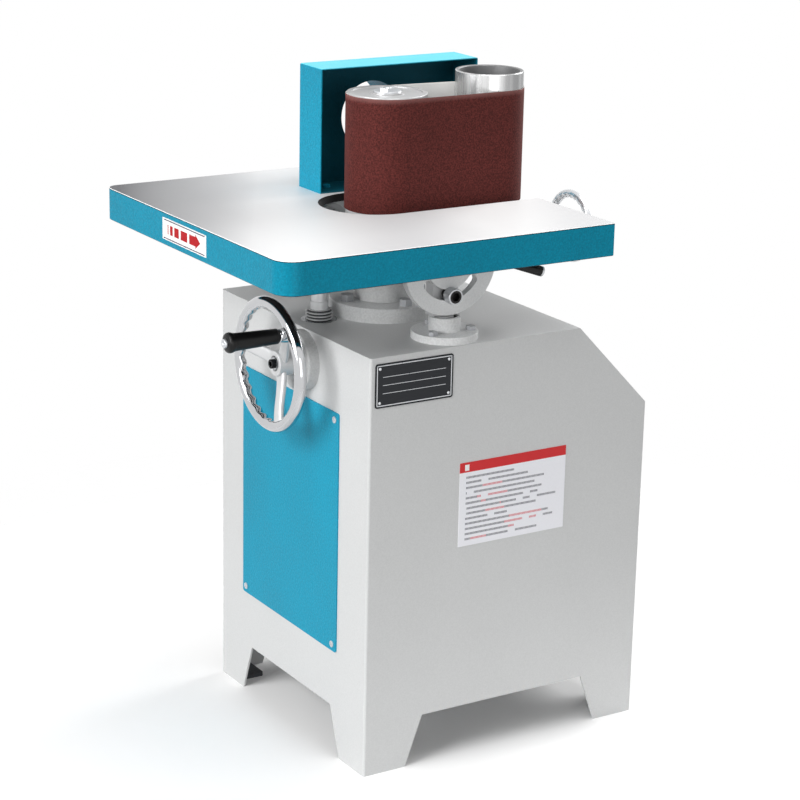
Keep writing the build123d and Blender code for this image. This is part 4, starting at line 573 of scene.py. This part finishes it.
inner, outer = belt_line(0.0), belt_line(belt_thick)
edge = 0.0003
section = [(inner, belt_low.z + edge), (inner, belt_high.z - edge), (outer, belt_high.z), (outer, belt_low.z)]
belt_rows = [np.column_stack([line, np.full(len(line), z)]) for line, z in section]
belt_rows.append(belt_rows[0])
abrasive, tree, shader = blank("abrasive_cloth", Specular_IOR_Level=0.12, Sheen_Weight=0.06,
                               Sheen_Tint=chip(255, 190, 186))
here = places(tree)
grit = noise(tree, here, 2600.0, 3.0, 0.7)
coarse = noise(tree, here, 700.0, 2.0)
streak = noise(tree, places(tree, (14, 14, 2.0)), 1.0, 3.0)
fleck = spread(tree, noise(tree, here, 430.0, 2.0, 0.6), 0.36, 0.64, 0.0, 1.0)
speckle = sums(tree, "ADD", sums(tree, "MULTIPLY", grit, 0.45), sums(tree, "MULTIPLY", fleck, 0.55))
maroon = between(tree, speckle, chip(30, 9, 8), chip(116, 53, 49))
height = wire(tree, "ShaderNodeSeparateXYZ", {0: here}).outputs["Z"]
# Painted highlight: the grit face turns lighter pink over its top 8 mm, towards the top edge.
painted_highlight_depth = 0.008
painted_top_highlight = spread(tree, height, belt_high.z - painted_highlight_depth, belt_high.z, 0.0, 0.42)
maroon = between(tree, painted_top_highlight, maroon, chip(186, 134, 130))
maroon = between(tree, sums(tree, "MULTIPLY", streak, 0.35), maroon, chip(56, 23, 20))
threads = {"Vector": here, "Scale": 420.0, "Distortion": 0.6}
weave = wire(tree, "ShaderNodeTexWave", threads, bands_direction="Z")
cloth = between(tree, weave.outputs[1], chip(226, 226, 224), chip(246, 246, 244))
side = wire(tree, "ShaderNodeAttribute", attribute_name="cloth_side").outputs["Fac"]
tree.links.new(between(tree, side, maroon, cloth), shader.inputs["Base Color"])
tree.links.new(spread(tree, grit, 0.3, 0.7, 0.62, 0.88), shader.inputs["Roughness"])
raise_by(tree, shader, sums(tree, "ADD", grit, sums(tree, "MULTIPLY", coarse, 0.5)), 0.00022)
belt_form = join("belt_form", abrasive, np.array(belt_rows))
centres = np.zeros(len(belt_form.data.polygons) * 3)
belt_form.data.polygons.foreach_get("center", centres)
normals = np.zeros(len(belt_form.data.polygons) * 3)
belt_form.data.polygons.foreach_get("normal", normals)
centres, normals = centres.reshape(-1, 3), normals.reshape(-1, 3)
share = np.clip((centres[:, 0] - drum_x) / (idler_x - drum_x), 0, 1)[:, None]
core = np.array((drum_x, drum_y)) + share * np.array((idler_x - drum_x, idler_y - drum_y))
outward = ((centres[:, :2] - core) * normals[:, :2]).sum(1)
cloth_side = belt_form.data.attributes.new("cloth_side", "FLOAT", "FACE")
cloth_side.data.foreach_set("value", (outward < 0.001).astype(np.float32))
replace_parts(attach(belt_form, "frame"), "sanding_belt")

# Table: steel plate ground on top, with its edge rebated over a skirt of bent flat bar in the blue enamel.
# The ground face shows fine lines along the table, with slanting bands of painted sheen and a left end painted
# darker, as painted reflection.
table_low, table_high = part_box("table_top")
ground, tree, shader = blank("ground_steel", Metallic=0.2, Specular_IOR_Level=0.06)
here = places(tree)
lay = noise(tree, places(tree, (8, 900, 8)), 1.0, 4.0, 0.6)
sheen = noise(tree, places(tree, (7, 0.8, 1)), 1.0, 2.0)
# Painted sheen: bands across the slant lighten and darken the ground face, and its left end darkens to dark
# grey, as painted reflection.
band_way, band_start, band_pitch = (0.881, -0.473, 0), 0.077, 0.282
slant = wire(tree, "ShaderNodeVectorMath", {0: here, 1: band_way}, operation="DOT_PRODUCT").outputs["Value"]
slant = sums(tree, "ADD", slant, sums(tree, "MULTIPLY", sums(tree, "SUBTRACT", sheen, 0.5), 0.03))
phase = sums(tree, "MULTIPLY", sums(tree, "SUBTRACT", slant, band_start), 2 * pi / band_pitch)
wave = sums(tree, "COSINE", phase)
tone = sums(tree, "ADD", wave, sums(tree, "MULTIPLY", sums(tree, "SUBTRACT", lay, 0.5), 0.5))
top_with_painted_sheen = between(tree, spread(tree, tone, -1.0, 1.0, 0.0, 1.0), chip(213, 213, 214), chip(237, 237, 237))
top_with_painted_sheen = between(tree, spread(tree, slant, -0.47, -0.27, 0.0, 1.0), chip(106, 106, 109), top_with_painted_sheen)
split = wire(tree, "ShaderNodeSeparateXYZ", {0: here})
face_depth, foot_depth, rim_band = 0.0002, 0.0005, 0.02
below = sums(tree, "LESS_THAN", split.outputs["Z"], table_high.z - face_depth)
mid_x, half_x = (table_low.x + table_high.x) / 2, (table_high.x - table_low.x) / 2 - rim_band
mid_y, half_y = (table_low.y + table_high.y) / 2, (table_high.y - table_low.y) / 2 - rim_band
within = sums(tree, "MULTIPLY", sums(tree, "COMPARE", split.outputs["X"], mid_x, half_x),
              sums(tree, "COMPARE", split.outputs["Y"], mid_y, half_y))
under = sums(tree, "LESS_THAN", split.outputs["Z"], table_low.z + foot_depth)
within = sums(tree, "MAXIMUM", within, under)
# Painted light: the plate's outer side faces are coloured near white as a painted highlight; its inner edges
# and underside near black as painted shade.
painted_edge_light_and_shade = between(tree, within, chip(246, 246, 246), chip(46, 46, 47))
tree.links.new(between(tree, below, top_with_painted_sheen, painted_edge_light_and_shade), shader.inputs["Base Color"])
tree.links.new(spread(tree, sums(tree, "ADD", lay, sheen), 0.6, 1.4, 0.42, 0.58), shader.inputs["Roughness"])
raise_by(tree, shader, lay, 0.00002)
dress(ground, "table_top")
# The skirt's enamel is the blue enamel painted darker, as painted shade on its front.
painted_shade_blue_enamel = enamel("painted_shade_blue_enamel", chip(10, 134, 162), 0.0026, 0.00040, 0.42, shine=0.12, fleck=0.20)
skirt_low, skirt_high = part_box("table_skirt")
top_line, foot_line = 0.0012, 0.0010
tree, base, split = coat(painted_shade_blue_enamel)
# Painted shade: a thin band along the skirt's top edge, under the plate's lip, and along its bottom edge is
# coloured dark blue.
upper = sums(tree, "GREATER_THAN", split.outputs["Z"], skirt_high.z - top_line)
lower = sums(tree, "LESS_THAN", split.outputs["Z"], skirt_low.z + foot_line)
painted_edge_shade = sums(tree, "MAXIMUM", upper, lower)
tree.links.new(between(tree, painted_edge_shade, base.links[0].from_socket, chip(6, 58, 70)), base)
dress(painted_shade_blue_enamel, "table_skirt")
dress(blue_enamel, "table_screws")

# Direction sign: white film on the table's left edge with a red block arrow, its tail broken into bars that
# thin out. Fine dark lines run above and below.
sign_low, sign_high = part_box("arrow_sign")
sign_film, tree, shader = blank("sign_film", Roughness=0.34, Specular_IOR_Level=0.4)
paper = noise(tree, places(tree), 260.0, 2.0)
tree.links.new(between(tree, paper, chip(232, 232, 230), chip(245, 245, 243)), shader.inputs["Base Color"])
dress(sign_film, "arrow_sign")
sign_red, tree, shader = blank("sign_red", Roughness=0.5, Specular_IOR_Level=0.15)
paper = noise(tree, places(tree), 260.0, 2.0)
tree.links.new(between(tree, paper, chip(160, 14, 22), chip(184, 24, 32)), shader.inputs["Base Color"])


def print_on_sign(outline):
    """Flat print: a four-cornered outline in shares of the sign, from its left end as seen, 0.2 mm proud."""
    share = np.array(outline, float)
    y = sign_high.y - share[:, 0] * (sign_high.y - sign_low.y)
    z = sign_low.z + share[:, 1] * (sign_high.z - sign_low.z)
    rows = [np.stack([np.full(4, sign_low.x - d), y, z], 1) for d in (-0.0002, 0.0002)]
    ends = [np.broadcast_to(row.mean(0), row.shape) for row in rows]
    return np.array([ends[0], rows[0], rows[1], ends[1]])


tail = [(0.125, 0.14), (0.18, 0.24), (0.28, 0.38), (0.43, 0.575), (0.625, 0.765)]
prints = [print_on_sign([(a, 0.30), (b, 0.30), (b, 0.73), (a, 0.73)]) for a, b in tail]
prints.append(print_on_sign([(0.765, 0.20), (0.87, 0.515), (0.87, 0.516), (0.765, 0.83)]))
arrow_print = join("arrow_print", sign_red, *prints)
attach(arrow_print, "table")
sign_ink, tree, shader = blank("sign_ink", Roughness=0.5, Specular_IOR_Level=0.15)
paper = noise(tree, places(tree), 260.0, 2.0)
tree.links.new(between(tree, paper, chip(66, 54, 78), chip(90, 78, 100)), shader.inputs["Base Color"])
rules = [print_on_sign([(0.03, z), (0.97, z), (0.97, z + 0.045), (0.03, z + 0.045)]) for z in (0.055, 0.90)]
sign_rules = join("sign_rules", sign_ink, *rules)
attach(sign_rules, "table")

# Tilt lock: bent lever of round steel bar on the front pivot, blacked, with a bright end cap.
# Its tapered grip is black moulded plastic, pushed on the bar.
lever_steel = plated("lever_steel", chip(34, 35, 37), 0.36, 0.00004)
tree, base, split = coat(lever_steel)
cap_start_x = 0.0572
end_cap = sums(tree, "GREATER_THAN", split.outputs["X"], cap_start_x)
tree.links.new(between(tree, end_cap, base.links[0].from_socket, chip(196, 198, 200)), base)
dress(lever_steel, "lock_lever")
dress(gloss_black, "lever_grip")

# Dust hood: box of folded 2 mm sheet in the blue enamel, open to the belt, screwed to the table.
# A round stub on its back takes the extraction hose. Its inside is coloured dark as painted shade, its top pale
# as painted light.
hood_low, hood_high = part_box("dust_hood")
hood_enamel = enamel("hood_enamel", chip(20, 143, 173), 0.0026, 0.00040, 0.42, shine=0.12, fleck=0.20)
tree, base, split = coat(hood_enamel)
sheet = 0.0015
mid_x, half_x = (hood_low.x + hood_high.x) / 2, (hood_high.x - hood_low.x) / 2 - sheet
# Painted shade: faces inside the sheet's outline, below its top and in front of its back, are coloured dark
# blue.
painted_inside_shade = sums(tree, "MULTIPLY", sums(tree, "COMPARE", split.outputs["X"], mid_x, half_x),
             sums(tree, "LESS_THAN", split.outputs["Z"], hood_high.z - sheet))
painted_inside_shade = sums(tree, "MULTIPLY", painted_inside_shade, sums(tree, "LESS_THAN", split.outputs["Y"], hood_high.y - sheet))
with_painted_inside_shade = between(tree, painted_inside_shade, base.links[0].from_socket, chip(16, 84, 100))
# Painted light: the top face is coloured pale blue.
painted_top_light = sums(tree, "GREATER_THAN", split.outputs["Z"], hood_high.z - sheet / 2)
tree.links.new(between(tree, painted_top_light, with_painted_inside_shade, chip(104, 219, 238)), base)
dress(hood_enamel, "dust_hood")
dress(blue_enamel, "dust_spigot")

# Push buttons: green and red caps of moulded plastic, for start and stop.
# They press into a dark metal plate that is fixed on the sloped shoulder.
dress(dark_plate, "switch_panel")


def moulded(name, colour):
    """Glossy moulded plastic with a faint cloud."""
    material, tree, shader = blank(name, Specular_IOR_Level=0.5)
    cloud = noise(tree, places(tree), 120.0, 3.0)
    tree.links.new(between(tree, cloud, tint(colour, 0.9), colour), shader.inputs["Base Color"])
    tree.links.new(spread(tree, cloud, 0.3, 0.7, 0.24, 0.34), shader.inputs["Roughness"])
    return material


dress(moulded("green_cap", chip(30, 150, 74)), "start_button")
dress(moulded("red_cap", chip(196, 30, 32)), "stop_button")

# Studio: pale floor that fades into white, and soft lamps at the left, above, in front and at the right.
# The camera stands in front of the left corner, a little above the table.
floor_mesh = bpy.data.meshes.new("floor")
size = 6.0
floor_corners = [(-size, -size, 0), (size, -size, 0), (size, size, 0), (-size, size, 0)]
floor_mesh.from_pydata(floor_corners, [], [(0, 1, 2, 3)])
floor = bpy.data.objects.new("floor", floor_mesh)
bpy.context.scene.collection.objects.link(floor)
floor_paint, tree, shader = blank("floor_paint", Roughness=0.8, Specular_IOR_Level=0.2)
here = places(tree)
pale = between(tree, noise(tree, here, 4.0), chip(246, 246, 246), chip(252, 252, 252))
tree.links.new(pale, shader.inputs["Base Color"])
away = wire(tree, "ShaderNodeVectorMath", {0: here}, operation="LENGTH").outputs["Value"]
fade = spread(tree, away, 0.45, 1.3, 0.0, 1.0)
clear = wire(tree, "ShaderNodeBsdfTransparent")
glow = 0.07
seen = sums(tree, "MULTIPLY", wire(tree, "ShaderNodeLightPath").outputs["Is Camera Ray"], glow)
lift = wire(tree, "ShaderNodeEmission", {"Strength": seen})
paint = wire(tree, "ShaderNodeAddShader", {0: shader.outputs[0], 1: lift.outputs[0]})
cover = wire(tree, "ShaderNodeMixShader", {0: fade, 1: paint.outputs[0], 2: clear.outputs[0]})
tree.links.new(cover.outputs[0], tree.nodes["Material Output"].inputs["Surface"])
floor_mesh.materials.append(floor_paint)

world = bpy.data.worlds.new("studio")
bpy.context.scene.world = world
world.use_nodes = True
tree = world.node_tree
path = wire(tree, "ShaderNodeLightPath")
seen = sums(tree, "MAXIMUM", path.outputs["Is Camera Ray"], path.outputs["Is Glossy Ray"])
seen = sums(tree, "MAXIMUM", seen, path.outputs["Is Transmission Ray"])
fill, backdrop = 0.27, 1.0
tree.links.new(spread(tree, seen, 0.0, 1.0, fill, backdrop), tree.nodes["Background"].inputs["Strength"])
tree.nodes["Background"].inputs["Color"].default_value = (1.0, 1.0, 1.0, 1.0)


def lamp(name, place, target, size, watts):
    """Square soft lamp at a place, turned to a target."""
    light = bpy.data.lights.new(name, "AREA")
    light.size, light.energy = size, watts
    holder = bpy.data.objects.new(name, light)
    holder.location = place
    holder.rotation_euler = (Vector(target) - Vector(place)).to_track_quat("-Z", "Y").to_euler()
    bpy.context.scene.collection.objects.link(holder)


lamp("left_soft_box", (-3.0, -0.6, 1.9), (0, 0, 0.5), 1.8, 98)
lamp("top_soft_box", (0.2, -0.6, 3.4), (0, 0, 0.6), 2.0, 31)
lamp("front_soft_box", (-0.8, -3.2, 0.9), (0, 0, 0.6), 1.6, 20)
lamp("right_soft_box", (2.1, 0.3, 1.8), (0, 0, 0.7), 1.4, 42)

yaw, pitch, roll = radians(-32.04), radians(16.93), radians(1.23)
camera_place = (-1.883, -2.920, 1.542)
camera_data = bpy.data.cameras.new("camera")
camera_data.sensor_width, camera_data.lens = 36.0, 105.96
camera = bpy.data.objects.new("camera", camera_data)
turn = Matrix.Rotation(yaw, 4, "Z") @ Matrix.Rotation(pi / 2 - pitch, 4, "X") @ Matrix.Rotation(roll, 4, "Z")
camera.matrix_world = Matrix.Translation(camera_place) @ turn
bpy.context.scene.collection.objects.link(camera)
bpy.context.scene.camera = camera
bpy.context.scene.view_settings.view_transform = "Standard"
